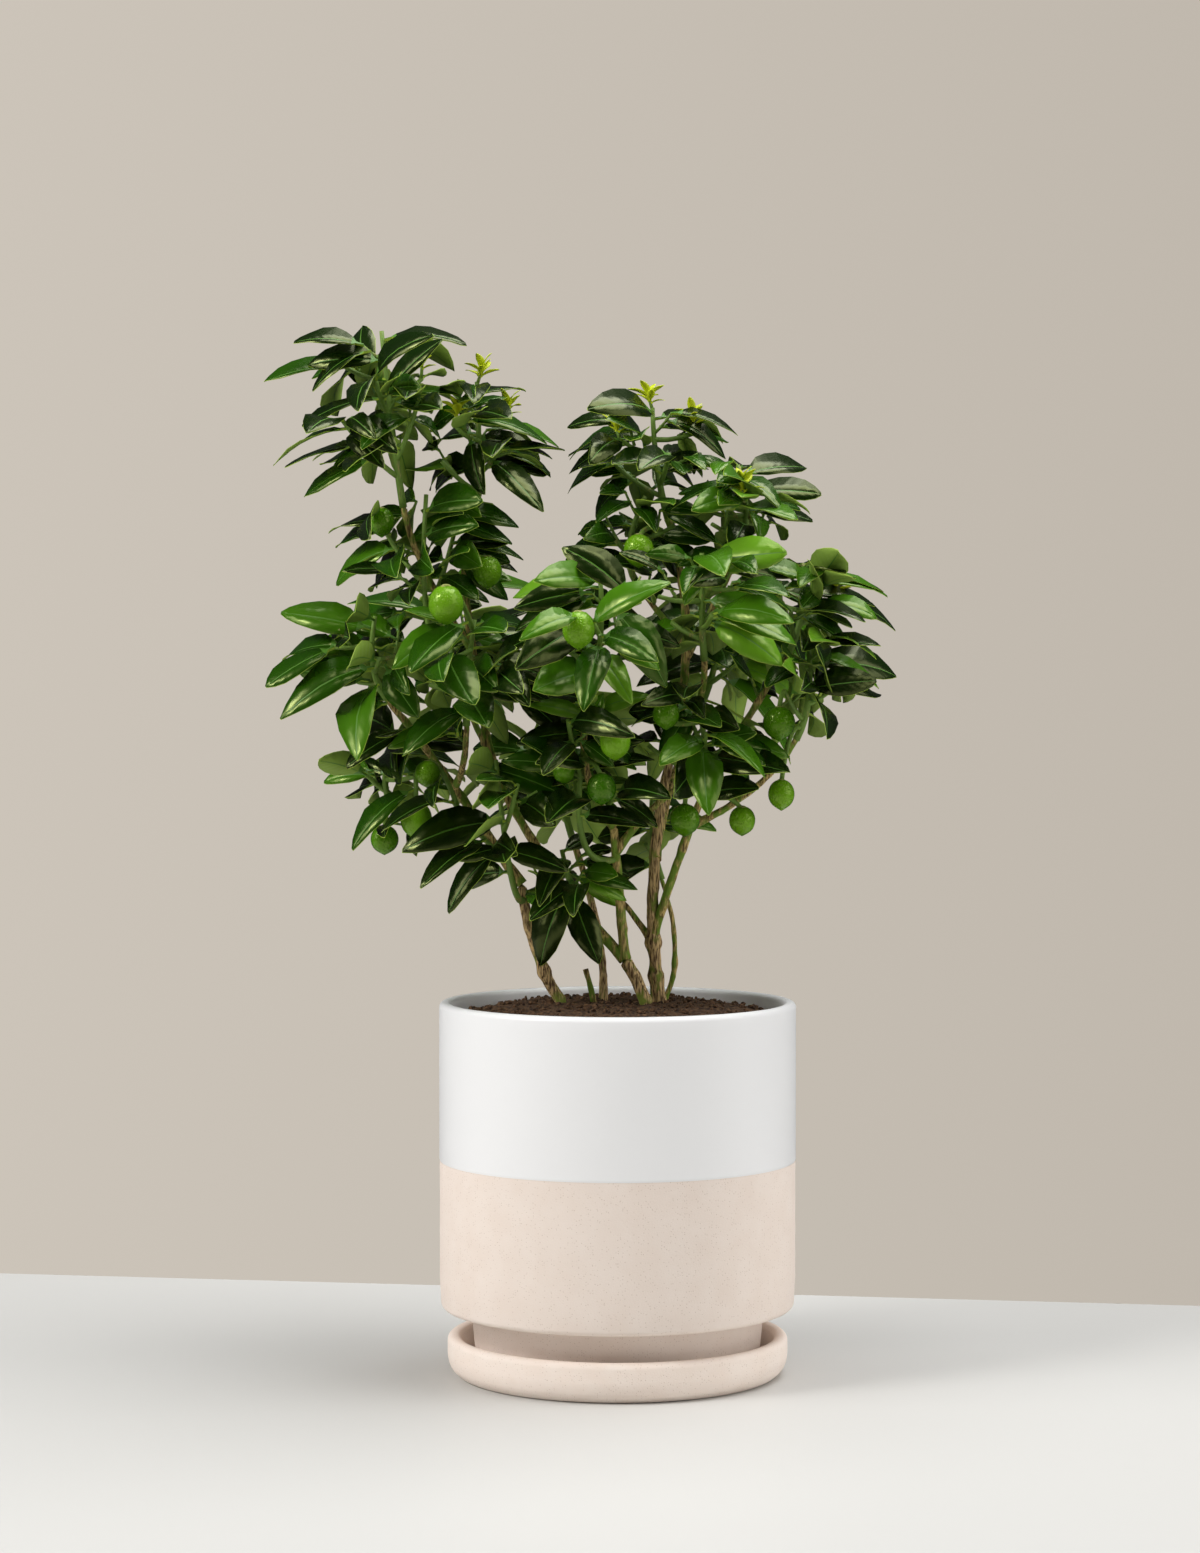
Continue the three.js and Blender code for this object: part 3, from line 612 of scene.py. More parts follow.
@dataclass(frozen=True)
class BareStoneware:
    """Unglazed buff stoneware, turned and sponged: a dry pinkish clay in clouds, with fine dark specks."""

    name: str
    colour: str
    pale: str
    dark: str
    speck_spacing: float = 1.5  # millimetres
    speck_strength: float = 0.42  # how dark the specks are drawn
    cloud: float = 200 / 11  # millimetres
    grain: float = 10 / 11  # millimetres
    roughness: float = 0.85

    def material(self) -> bpy.types.Material:
        """Scatter fine specks over clouds of a paler clay, with small pits at the specks.

        Returns:
            The material.
        """
        material, tree, shader = dressed(self.name, {"Roughness": self.roughness, "IOR": 1.5})
        place = add(tree, "TexCoord").outputs["Object"]
        cells = add(tree, "TexVoronoi", {"Vector": place, "Scale": 1 / (self.speck_spacing * MM)})
        chosen = add(tree, "SeparateColor", {0: cells.outputs["Color"]})
        few = reckon(tree, "GREATER_THAN", chosen.outputs[0], 0.62)
        close = spread_out(tree, cells.outputs["Distance"], 0.30, 0.16)
        specks = reckon(tree, "MULTIPLY", few, close)
        faint = reckon(tree, "MULTIPLY", specks, self.speck_strength)
        clouds = spread_out(tree, mottle(tree, place, self.cloud, 4.0), 0.3, 0.7, to=(0.0, 0.55))
        clay = blend(tree, clouds, linear(self.colour), linear(self.pale))
        rough = relief(tree, mottle(tree, place, self.grain, 2.0), depth=0.2, strength=0.5)
        tree.links.new(blend(tree, faint, clay, linear(self.dark)), shader.inputs["Base Color"])
        pits = relief(tree, specks, depth=0.15, strength=0.6, under=rough, sunk=True)
        tree.links.new(pits, shader.inputs["Normal"])
        return material


@dataclass(frozen=True)
class PottingMix:
    """Moist potting mix: dark crumbs of peat and bark, dull, in browns that change every few millimetres."""

    name: str
    dark: str
    light: str
    crumb: float = 50 / 21  # millimetres
    relief: float = 1.2  # millimetres

    def material(self) -> bpy.types.Material:
        """Draw the crumbs in two browns, with their relief.

        Returns:
            The material.
        """
        material, tree, shader = dressed(self.name, {"Roughness": 0.92, "IOR": 1.4})
        crumbs = mottle(tree, add(tree, "TexCoord").outputs["Object"], self.crumb, 6.0)
        tone = spread_out(tree, crumbs, 0.35, 0.72)
        browns = blend(tree, tone, linear(self.dark), linear(self.light))
        tree.links.new(browns, shader.inputs["Base Color"])
        tree.links.new(relief(tree, crumbs, self.relief, strength=1.0), shader.inputs["Normal"])
        return material


class LeafPart(Enum):
    """The parts of a leaf. The blade takes a tone's slot, and the others follow the tones in this order."""

    BLADE = 0
    UNDERSIDE = 1
    RIB = 2
    EDGE = 3


LEAF_TONES = (
    CitrusLeaf("leaf_deep_green", "081e01"),
    CitrusLeaf("leaf_green", "1d4402"),
    CitrusLeaf("leaf_fresh_green", "3a680a"),
    CitrusLeaf("leaf_light_green", "5a891a", roughness=0.3),
)
LEAF_PARTS = (
    CitrusLeaf("leaf_underside", "7f9c40", roughness=0.6, vein_depth=0.5),
    PlainSkin("leaf_midrib", "4c7822", 0.45),
    PlainSkin("leaf_edge", "93ad34", 0.5),
)
TONE_STEPS = (0.42, 0.72, 0.89)  # where one tone passes to the next, from 0 to 1
BUD_TONE = CitrusLeaf("new_growth", "c2cf1f", roughness=0.45)
# Each bark gives its cork, the dark brown of its cracks with painted shade, its green and the green's share
OLD_BARK = CitrusBark("old_citrus_bark", "d6b67e", "533b1e", "74822c", 0.27)
BOUGH_BARK = CitrusBark("bough_citrus_bark", "c9b06a", "5c4a22", "6c8824", 0.46)
TWIG_BARK = CitrusBark("green_citrus_twig", "98934c", "55662a", "67862f", 0.8, roughness=0.6)
LIME_TONES = (
    LimePeel("lime_peel_dark", "326005"),
    LimePeel("lime_peel_green", "457507"),
    LimePeel("lime_peel_light", "629314"),
)
CALYX = PlainSkin("lime_calyx", "8a8f4a", 0.7)
GLAZE = SatinGlaze("white_satin_glaze", "efeff0")
STONEWARE = BareStoneware("bare_stoneware", "ebdcd1", "f1e5dc", "b39a88")
# The saucer's clay is the pot's bare stoneware painted paler: painted light that brightens the saucer
PAINTED_LIGHT_SAUCER_WARE = BareStoneware("saucer_stoneware_painted_light", "f5e5d9", "faefe6", "bda492")
POTTING_MIX = PottingMix("potting_mix", "24170f", "715339")


# Making pieces

@dataclass
class Shape:
    """A small closed shape as arrays, ready to be placed many times."""

    points: np.ndarray
    faces: list[list[int]]
    uvs: np.ndarray
    slots: np.ndarray
    smooth: np.ndarray

    @staticmethod
    def of(mesh: bmesh.types.BMesh) -> "Shape":
        """Take the arrays of a bmesh and free it.

        Args:
            mesh: the bmesh, whose map is named place if it has one.

        Returns:
            The shape.
        """
        mesh.verts.index_update()
        layer = mesh.loops.layers.uv.get("place")
        corners = [loop for face in mesh.faces for loop in face.loops]
        uvs = [tuple(loop[layer].uv) if layer else (0.0, 0.0) for loop in corners]
        shape = Shape(
            np.array([v.co[:] for v in mesh.verts]),
            [[v.index for v in face.verts] for face in mesh.faces],
            np.array(uvs),
            np.array([face.material_index for face in mesh.faces]),
            np.array([face.smooth for face in mesh.faces]),
        )
        mesh.free()
        return shape


@dataclass
class Heap:
    """Many small shapes, gathered from arrays into one piece."""

    points: list[np.ndarray] = field(default_factory=list)
    faces: list[list[int]] = field(default_factory=list)
    uvs: list[np.ndarray] = field(default_factory=list)
    slots: list[np.ndarray] = field(default_factory=list)
    smooth: list[np.ndarray] = field(default_factory=list)
    count: int = 0

    def put(self, shape: Shape, points: np.ndarray, slots: np.ndarray | None = None) -> None:
        """Add one copy of a shape.

        Args:
            shape: the shape whose faces are copied.
            points: where its points go, in millimetres.
            slots: the material slot of each face, or None for the shape's own.
        """
        self.points.append(points)
        self.faces.extend([[i + self.count for i in face] for face in shape.faces])
        self.uvs.append(shape.uvs)
        self.slots.append(shape.slots if slots is None else slots)
        self.smooth.append(shape.smooth)
        self.count += len(points)

    def piece(self, name: str, materials: Sequence[bpy.types.Material]) -> bpy.types.Object:
        """Make the heap one object with its own map.

        Args:
            name: the object's name.
            materials: its material slots.

        Returns:
            The object, at the origin.
        """
        mesh = bpy.data.meshes.new(name)
        mesh.from_pydata((np.concatenate(self.points) * MM).tolist(), [], self.faces)
        for material in materials:
            mesh.materials.append(material)
        mesh.polygons.foreach_set("material_index", np.concatenate(self.slots).astype(np.int32))
        mesh.polygons.foreach_set("use_smooth", np.concatenate(self.smooth).astype(bool))
        layer = mesh.uv_layers.new(name="place")
        layer.data.foreach_set("uv", np.concatenate(self.uvs).astype(np.float32).ravel())
        mesh.update()
        made = bpy.data.objects.new(name, mesh)
        bpy.context.scene.collection.objects.link(made)
        return made


def finish_piece(piece: bpy.types.Object, slot: str, *nodes: str) -> bpy.types.Object:
    """Let a piece ride on the body and stand for its nodes, and report it.

    Args:
        piece: the piece.
        slot: not used.
        nodes: the frame's nodes that it replaces.

    Returns:
        The piece.
    """
    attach(piece, BODY)
    if nodes:
        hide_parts(*nodes)
    triangles = sum(len(face.vertices) - 2 for face in piece.data.polygons)
    LOG.info("%s: %d triangles for %s", piece.name, triangles, ", ".join(nodes) or "no node")
    return piece


def object_of(
    mesh: bmesh.types.BMesh, name: str, materials: Sequence[bpy.types.Material]
) -> bpy.types.Object:
    """Make a bmesh in millimetres an object in metres.

    Args:
        mesh: the bmesh, which is freed.
        name: the object's name.
        materials: its material slots.

    Returns:
        The object, at the origin.
    """
    bmesh.ops.scale(mesh, vec=(MM, MM, MM), verts=mesh.verts)
    data = bpy.data.meshes.new(name)
    mesh.to_mesh(data)
    mesh.free()
    for material in materials:
        data.materials.append(material)
    made = bpy.data.objects.new(name, data)
    bpy.context.scene.collection.objects.link(made)
    return made


def rod(sides: int, rings: int) -> Shape:
    """A closed round rod of radius 1 from z 0 to 1, ready to be bent along a curve.

    Args:
        sides: the number of its sides.
        rings: the number of lengths that it is cut into.

    Returns:
        The rod's shape.
    """
    mesh = bmesh.new()
    bmesh.ops.create_cone(mesh, cap_ends=True, segments=sides, radius1=1, radius2=1, depth=1)
    bmesh.ops.translate(mesh, vec=(0, 0, 0.5), verts=mesh.verts)
    uprights = [e for e in mesh.edges if abs(e.verts[0].co.z - e.verts[1].co.z) > 0.5]
    bmesh.ops.subdivide_edges(mesh, edges=uprights, cuts=rings - 1, use_grid_fill=True)
    for face in mesh.faces:
        face.smooth = abs(face.normal.z) < 0.5
    return Shape.of(mesh)


def bend(points: np.ndarray, curve: Curve, radius_at: RadiusAt) -> np.ndarray:
    """Bend a rod's points along a curve.

    Args:
        points: the rod's points, with x and y on a circle of radius 1 and z from 0 to 1.
        curve: the curve that the rod follows.
        radius_at: the radius at shares of the curve's length.

    Returns:
        The bent points in millimetres.
    """
    t = points[:, 2]
    side, across = curve.square(t)
    offset = side * points[:, :1] + across * points[:, 1:2]
    return curve.at(t) + offset * radius_at(t)[:, None]


# Growth, by the source's rule

@dataclass
class Limb:
    """A stem or bough."""

    spec: LimbSpec
    curve: Curve
    length: float
    flare: float = 0.22  # how much a stem's radius grows at its foot
    flare_length: float = 9.0

    def radius_at(self, t: float | np.ndarray) -> float | np.ndarray:
        """The radius at shares t of the length, with the root flare of a stem."""
        flare = 0.0 if self.spec.parent else self.flare
        return mix(*self.spec.radius, t) * (1 + flare * np.exp(-t * self.length / self.flare_length))


@dataclass
class Beads:
    """Beads strung along what a leaf might touch."""

    at: np.ndarray
    radius: np.ndarray
    owner: np.ndarray

    @staticmethod
    def along(curve: Curve, radius_at: RadiusAt, owner: int, spacing: float = 3.0) -> "Beads":
        """String beads along a curve.

        Args:
            curve: the curve.
            radius_at: the radius at shares of the curve.
            owner: the number of what has the curve.
            spacing: about how far apart the beads are.

        Returns:
            The beads.
        """
        count = math.ceil(curve.length() / spacing)
        t = np.arange(count + 1) / count
        radii = np.broadcast_to(radius_at(t), t.shape).astype(float)
        return Beads(curve.at(t), radii, np.full(count + 1, owner))

    @staticmethod
    def joined(several: Sequence["Beads"]) -> "Beads":
        """Several strings of beads as one."""
        parts = ("at", "radius", "owner")
        return Beads(*(np.concatenate([getattr(beads, part) for beads in several]) for part in parts))


@dataclass
class Shoot:
    """A twig, built of straight lengths in the source. Its leaves are one spray and share a tone."""

    curve: Curve
    radii: tuple[float, float]
    owner: int
    stalk: bool = False

    def __post_init__(self) -> None:
        """Work out its length and its number of straight lengths."""
        self.length = self.curve.length()
        self.steps = max(1, round(self.length / SHOOT_STEP))

    def radius_at(self, t: float | np.ndarray) -> float | np.ndarray:
        """The radius at shares t of the length."""
        return mix(*self.radii, t)

    def on(self, t: float) -> Point:
        """The point at a share of the straight lengths.

        Args:
            t: the share.

        Returns:
            The point.
        """
        step = min(math.floor(t * self.steps), self.steps - 1)
        ends = self.curve.at(np.array([step, step + 1]) / self.steps)
        return mix(ends[0], ends[1], t * self.steps - step)


# Where a leaf is held against other things, as shares of its length and of its half width
SAMPLES = np.array([(u, v) for u in (0.2, 0.4, 0.6, 0.8) for v in (-0.85, 0.0, 0.85)] + [(1.0, 0.0)])


def swell(u: np.ndarray) -> np.ndarray:
    """Half a leaf's width over its full width, at shares u of its length."""
    inside = (u > 0) & (u < 1)
    return np.where(inside, 0.5 * np.sin(np.pi * np.clip(u, 0, 1) ** 0.9).clip(0) ** 0.7, 0.0)


@dataclass
class Leaf:
    """A leaf: its root, three directions square to each other, and its size. Its blade arches down."""

    root: Point
    along: Point
    across: Point
    up: Point
    length: float
    width: float
    arch: float
    tone: int = 0

    @staticmethod
    def grown(root: Point, direction: Point, upwards: Point, length: float, random: Numbers) -> "Leaf":
        """Grow a leaf.

        Args:
            root: where it leaves its shoot.
            direction: where it points.
            upwards: where its upper side turns.
            length: its length with its stalk.
            random: numbers for its width and arch.

        Returns:
            The leaf.
        """
        along = unit(direction)
        across = unit(np.cross(upwards, along))
        width = length * LEAF_ASPECT * mix(0.88, 1.12, random.next())
        arch = mix(0.14, 0.4, random.next())
        return Leaf(root, along, across, np.cross(along, across), length, width, arch)

    def samples(self) -> np.ndarray:
        """Take points over the blade and at its tip.

        Returns:
            The points, one to a row.
        """
        u, v = SAMPLES[:, :1], SAMPLES[:, 1:]
        half = v * swell(u) * self.width
        drop = self.arch * self.length * u**2
        return self.root + u * self.length * self.along + half * self.across - drop * self.up

    def frame(self) -> np.ndarray:
        """Its three directions as rows."""
        return np.array([self.along, self.across, self.up])

    def size(self) -> np.ndarray:
        """Its length, width and arch."""
        return np.array([self.length, self.width, self.arch])


def near_blade(
    offset: np.ndarray, frames: np.ndarray, sizes: np.ndarray, room: np.ndarray | float
) -> np.ndarray:
    """Which points come too near to some blades.

    Args:
        offset: the points from the blades' roots, with the blades along the first axis.
        frames: each blade's directions as rows.
        sizes: each blade's length, width and arch.
        room: how near is too near.

    Returns:
        For each blade and point, whether it is too near.
    """
    u, v, w = np.moveaxis(offset @ np.swapaxes(frames, 1, 2), 2, 0)
    length, width, arch = sizes.T[..., None]
    u = u / length
    within = (u >= BARE_SHARE) & (u <= 1 + room / length)
    within &= np.abs(v) <= np.maximum(swell(u) * width, STALK_HALF) + room
    return within & (np.abs(w + arch * length * np.minimum(u, 1) ** 2) < room)


class Canopy:
    """Every leaf so far, in arrays, so that a new leaf is held against many at once."""

    def __init__(self) -> None:
        """Make room for the leaves."""
        self.count = 0
        self.roots = np.zeros((MOST_LEAVES, 3))
        self.frames = np.zeros((MOST_LEAVES, 3, 3))
        self.sizes = np.zeros((MOST_LEAVES, 3))
        self.samples = np.zeros((MOST_LEAVES, len(SAMPLES), 3))
        self.seeds = np.zeros(MOST_LEAVES, int)

    def keep(self, leaf: Leaf, seed: int) -> None:
        """Add a leaf.

        Args:
            leaf: the leaf.
            seed: its mass's seed.
        """
        at = self.count
        self.roots[at], self.frames[at], self.sizes[at] = leaf.root, leaf.frame(), leaf.size()
        self.samples[at], self.seeds[at] = leaf.samples(), seed
        self.count += 1

    def blocks(self, leaf: Leaf, ease: float, seed: int | None) -> bool:
        """Whether a leaf comes too near to another.

        Args:
            leaf: the new leaf.
            ease: the share of the source's clearances that is kept.
            seed: the seed of the mass whose leaves are looked at, or None for all leaves.

        Returns:
            Whether another leaf is in its way.
        """
        near = np.linalg.norm(self.roots[: self.count] - leaf.root, axis=1) <= LEAF_SEARCH * LEAF_LENGTH
        if seed is not None:
            near &= self.seeds[: self.count] == seed
        near = np.flatnonzero(near)
        if not len(near):
            return False
        theirs = leaf.samples() - self.roots[near][:, None]
        if near_blade(theirs, self.frames[near], self.sizes[near], LEAF_ROOM * ease).any():
            return True
        ours = (self.samples[near].reshape(-1, 3) - leaf.root)[None]
        return bool(near_blade(ours, leaf.frame()[None], leaf.size()[None], LEAF_ROOM * ease).any())


@dataclass
class Mass:
    """A mass of foliage, and what has grown in it."""

    spec: MassSpec
    shoots: list[Shoot] = field(default_factory=list)
    beads: list[Beads] = field(default_factory=list)
    leaves: list[Leaf] = field(default_factory=list)
    buds: list[Leaf] = field(default_factory=list)

    def __post_init__(self) -> None:
        """Take the space's centre and reach as arrays, and start the mass's own numbers."""
        self.centre = np.array(self.spec.centre, float)
        self.reach = np.array(self.spec.reach, float)
        self.weight = self.reach.mean()
        self.random = Numbers(self.spec.seed)

    def in_reach(self, points: np.ndarray, share: float | np.ndarray = 1.0) -> np.ndarray:
        """Which points are within a share of the mass's reach."""
        return (((points - self.centre) / self.reach) ** 2).sum(axis=-1) <= np.square(share)


@dataclass
class Tree:
    """The whole plant, grown by the same rule and from the same seeds as the frame's solids."""

    bare_below: float = 345.0  # the height up to which the limbs carry no leaves of their own
    shoot_step: float = 38.0  # the length of shoot that each finer twig has to itself
    limb_step: float = 28.0  # the same along a limb
    finer_lengths: tuple[float, float] = (10.0, 26.0)
    finer_radii: tuple[float, float] = (1.2, 0.8)
    finer_leaves: tuple[tuple[float, float], ...] = ((0.95, 0.5), (0.6, 1.0), (0.3, 1.2))  # place and spread
    finer_sizes: tuple[float, float] = (0.5, 0.93)  # finer leaves over a full one
    finer_ease: float = 0.35  # the share of the source's clearances that finer leaves keep
    finer_reach: float = 0.82  # how far out they may stand, as a share of what the source's leaves may
    finer_lap: float = 12.0  # how far finer leaves may pass the planes between masses
    tuft_radii: tuple[float, float] = (1.3, 0.8)
    tuft_lengths: tuple[float, float] = (9.0, 15.0)  # of its twig and of its leaves
    tuft_leaves: int = 9

    def __post_init__(self) -> None:
        """Grow the limbs, then every mass's shoots and limes, then the leaves, then the finer twigs."""
        self.owners = 0
        self.canopy = Canopy()
        self.limbs: dict[str, Limb] = {}
        for spec in LIMBS:
            self.add_limb(spec)
        self.limb_beads = Beads.joined(
            [Beads.along(limb.curve, limb.radius_at, self.owner()) for limb in self.limbs.values()]
        )
        self.masses = [Mass(spec) for spec in MASSES]
        self.centres = np.array([m.centre for m in self.masses])
        self.weights = np.array([m.weight for m in self.masses])
        for mass in self.masses:
            self.side_shoots(mass, self.main_shoot(mass))
            self.hang_limes(mass)
        beads = Beads.joined([self.limb_beads] + [b for m in self.masses for b in m.beads])
        for mass in self.masses:
            self.leaf_up(mass, beads)
        for mass in self.masses:
            self.grow_finer(mass, beads)

    def owner(self) -> int:
        """A new number for something that has beads."""
        self.owners += 1
        return self.owners

    def add_limb(self, spec: LimbSpec) -> None:
        """Work out a limb's curve from the soil or from its parent.

        Args:
            spec: where the limb runs.
        """
        if spec.foot:
            start = np.array([*spec.foot, SOIL_LEVEL + CLEARANCE])
        else:
            start = self.limbs[spec.parent].curve.at(spec.at)
        curve = Curve.through(start, np.array(spec.via, float), np.array(spec.tip, float))
        self.limbs[spec.name] = Limb(spec, curve, curve.length())

    def in_cell(self, mass: Mass, points: np.ndarray, margin: float = CELL_MARGIN) -> np.ndarray:
        """Which points are on a mass's own side of the planes between it and its neighbours.

        Args:
            mass: the mass.
            points: the points.
            margin: how far from the planes they have to keep.

        Returns:
            For each point, whether it is.
        """
        own = ((points - mass.centre) ** 2).sum(axis=-1) - mass.weight**2
        others = np.array([m is not mass for m in self.masses])
        centres, weights = self.centres[others], self.weights[others]
        theirs = ((points[:, None] - centres) ** 2).sum(axis=-1) - weights**2
        apart = np.linalg.norm(centres - mass.centre, axis=1)
        return (own[:, None] - theirs + 2 * margin * apart <= 0).all(axis=1)

    def add_shoot(self, mass: Mass, curve: Curve, radii: tuple[float, float], stalk: bool = False) -> Shoot:
        """Add a shoot and its beads to a mass.

        Args:
            mass: the mass.
            curve: the shoot's curve.
            radii: its radius at its start and end.
            stalk: whether it carries a lime and no leaves.

        Returns:
            The shoot.
        """
        shoot = Shoot(curve, radii, self.owner(), stalk)
        mass.shoots.append(shoot)
        mass.beads.append(Beads.along(curve, shoot.radius_at, shoot.owner))
        return shoot

    def main_shoot(self, mass: Mass) -> Shoot:
        """Add the shoot that leaves the limb's tip, or stands on its side, and rises through the mass.

        Args:
            mass: the mass.

        Returns:
            The shoot.
        """
        limb = self.limbs[mass.spec.on]
        if mass.spec.at is None:
            leaving = limb.curve.heading(1.0)
            start = limb.curve.at(1.0) + leaving * CLEARANCE
        else:
            foot = limb.curve.at(mass.spec.at)
            axis = limb.curve.heading(mass.spec.at)
            leaving = mass.centre - foot
            leaving = unit(leaving - (leaving @ axis) * axis)
            start = foot + leaving * (limb.radius_at(mass.spec.at) + CLEARANCE)
        crest = mass.centre + np.array([0, 0, CREST * mass.reach[2]])
        handle = start + leaving * LEAVING * np.linalg.norm(crest - start)
        return self.add_shoot(mass, Curve(start, handle, crest), MAIN_RADII)

    def side_shoots(self, mass: Mass, main: Shoot) -> None:
        """Add shoots round the main one by the golden angle, each drawn in until it is clear of every limb.

        Args:
            mass: the mass.
            main: its main shoot.
        """
        turn = mass.random.next() * 2 * math.pi
        for i in range(mass.spec.shoots):
            t = mix(*SIDE_STARTS, (i + 0.5) / mass.spec.shoots)
            angle = turn + i * GOLDEN_ANGLE + 0.5 * mass.random.next()
            lift = mix(*SIDE_LIFTS, t) + 0.3 * mass.random.next()
            start = main.on(t)
            for share in SIDE_SHARES:
                end = mass.centre + np.array([math.cos(angle), math.sin(angle), lift]) * mass.reach * share
                handle = (start + end) / 2
                handle[2] -= SIDE_SAG * np.linalg.norm(end - start)
                curve = Curve(start, handle, end)
                path = Beads.along(curve, lambda t: np.full(np.shape(t), TWIG_RADIUS), 0).at[2:]
                clear = self.in_cell(mass, path).all() and self.clear_of_limbs(path, TWIG_RADIUS + 1)
                if clear and curve.length() > SHORTEST_SHOOT:
                    self.add_shoot(mass, curve, SIDE_RADII)
                    break

    def clear_of_limbs(self, path: np.ndarray, room: float) -> bool:
        """Whether every point of a path stays further than room from every limb's bark."""
        apart = np.linalg.norm(path[:, None] - self.limb_beads.at, axis=2)
        return bool((apart > self.limb_beads.radius + room).all())

    def hang_limes(self, mass: Mass) -> None:
        """Add a stalk for each lime, from the nearest place on a shoot.

        Args:
            mass: the mass.
        """
        for x, y, z, radius in mass.spec.limes:
            top = np.array([x, y, z + 0.85 * radius])
            places = [shoot.on(t) for shoot in mass.shoots for t in (0.1, 0.3, 0.5, 0.7, 0.9)]
            start = min(places, key=lambda place: float(np.linalg.norm(place - top)))
            handle = mix(start, top, 0.6)
            handle[2] = max(start[2], top[2]) + STALK_ARCH
            self.add_shoot(mass, Curve(start, handle, top), STALK_RADII, stalk=True)
            centre = np.array([[x, y, z]], float)
            mass.beads.append(Beads(centre, np.array([radius]), np.array([self.owner()])))

    def fits(self, mass: Mass, leaf: Leaf, shoot: Shoot, beads: Beads, finer: bool = False) -> bool:
        """Whether a leaf stays in its mass's space and touches nothing.

        Args:
            mass: the mass that it grows in.
            leaf: the leaf.
            shoot: the shoot that it grows on, which it may touch near its root.
            beads: the beads of all limbs, shoots and limes.
            finer: whether it is one of the finer leaves, which stand closer and reach in among other masses'.

        Returns:
            Whether the leaf may stay.
        """
        ease, margin = (self.finer_ease, -self.finer_lap) if finer else (1.0, CELL_MARGIN)
        points = leaf.samples()
        reach = self.finer_reach if finer else 1
        shares = np.where(SAMPLES[:, 0] > 0.7, TIP_OVERHANG, BLADE_OVERHANG) * reach
        if not (mass.in_reach(points, shares).all() and self.in_cell(mass, points, margin).all()):
            return False
        offset = beads.at - leaf.root
        near_root = (beads.owner == shoot.owner) & (np.linalg.norm(offset, axis=1) < ROOT_ROOM)
        room = beads.radius + BEAD_ROOM * ease
        hit = near_blade(offset[None], leaf.frame()[None], leaf.size()[None], room)[0]
        if (hit & ~near_root).any():
            return False
        return not self.canopy.blocks(leaf, ease, None if finer else mass.spec.seed)

    def leaf_up(self, mass: Mass, beads: Beads) -> None:
        """Grow the source's leaves, round each shoot by the golden angle and closing up towards its tip.

        Args:
            mass: the mass.
            beads: the beads of all limbs, shoots and limes.
        """
        facing = self.facing(mass)
        tones = Numbers(mass.spec.seed + TONE_STREAM)
        for shoot in list(mass.shoots):
            spray = tones.next()
            count = max(1, math.floor((shoot.length - BARE_START) / LEAF_SPACING))
            turn = mass.random.next() * 2 * math.pi
            for k in range(count + 1):
                t = min(mix(BARE_START / shoot.length, 1, (k + 0.35) / count), 0.95)
                size = LEAF_LENGTH * mix(*LEAF_SIZES, t) * mix(*LEAF_CHANCE, mass.random.next())
                spread = mix(*LEAF_SPREADS, t * t)
                angle = turn + k * GOLDEN_ANGLE
                leaf = self.try_leaf(mass, shoot, beads, t, angle, spread, size, facing, mass.random)
                if leaf:
                    leaf.tone = self.tone(spray, tones)

    def facing(self, mass: Mass) -> Point:
        """Where a mass's leaves turn their upper sides, besides up.

        Args:
            mass: the mass.

        Returns:
            A direction out of the crown and to the light, shorter for a mass near the top.
        """
        radial = np.array([mass.centre[0] - CROWN_AXIS[0], mass.centre[1] - CROWN_AXIS[1], 0])
        low, high = LEVEL_LEAVES
        rise = min(max((mass.centre[2] - low) / (high - low), 0), 1)
        return (unit(radial) + np.array(TO_LIGHT)) * mix(1, 0.55, rise)

    def try_leaf(
        self, mass: Mass, shoot: Shoot, beads: Beads, t: float, angle: float, spread: float, size: float,
        facing: Point, random: Numbers, finer: bool = False,
    ) -> Leaf | None:
        """Place one leaf, trying other sides and smaller sizes until it fits.

        Args:
            mass: the mass that it grows in.
            shoot: the shoot that carries it.
            beads: the beads of all limbs, shoots and limes.
            t: its share of the shoot's length.
            angle: its turn round the shoot.
            spread: its angle from the shoot.
            size: its full length.
            facing: where its upper side turns, besides up.
            random: the numbers that it is drawn from.
            finer: whether it is one of the finer leaves.

        Returns:
            The leaf, or None where none fits.
        """
        root = shoot.on(t)
        axis = shoot.curve.heading(t)
        side, across = shoot.curve.square(t)
        outwards = (root - mass.centre) * (1, 1, 0)
        outwards = outwards / max(np.linalg.norm(outwards), 12)
        for tries in range(TRIES_A_SIZE * len(LEAF_SHARES)):
            turn = angle + TRY_TURN * (tries % TRIES_A_SIZE) * GOLDEN_ANGLE
            direction = (side * math.cos(turn) + across * math.sin(turn)) * math.sin(spread)
            direction = direction + axis * math.cos(spread)
            direction = direction + outwards * OUTWARDS
            direction[2] = FLATTENED * direction[2] - DROOP
            upwards = np.array([random.next() - 0.5, random.next() - 0.5, 1]) + facing
            share = LEAF_SHARES[tries // TRIES_A_SIZE]
            leaf = Leaf.grown(root, direction, upwards, size * share, random)
            if self.fits(mass, leaf, shoot, beads, finer):
                self.canopy.keep(leaf, mass.spec.seed)
                mass.leaves.append(leaf)
                return leaf
        return None

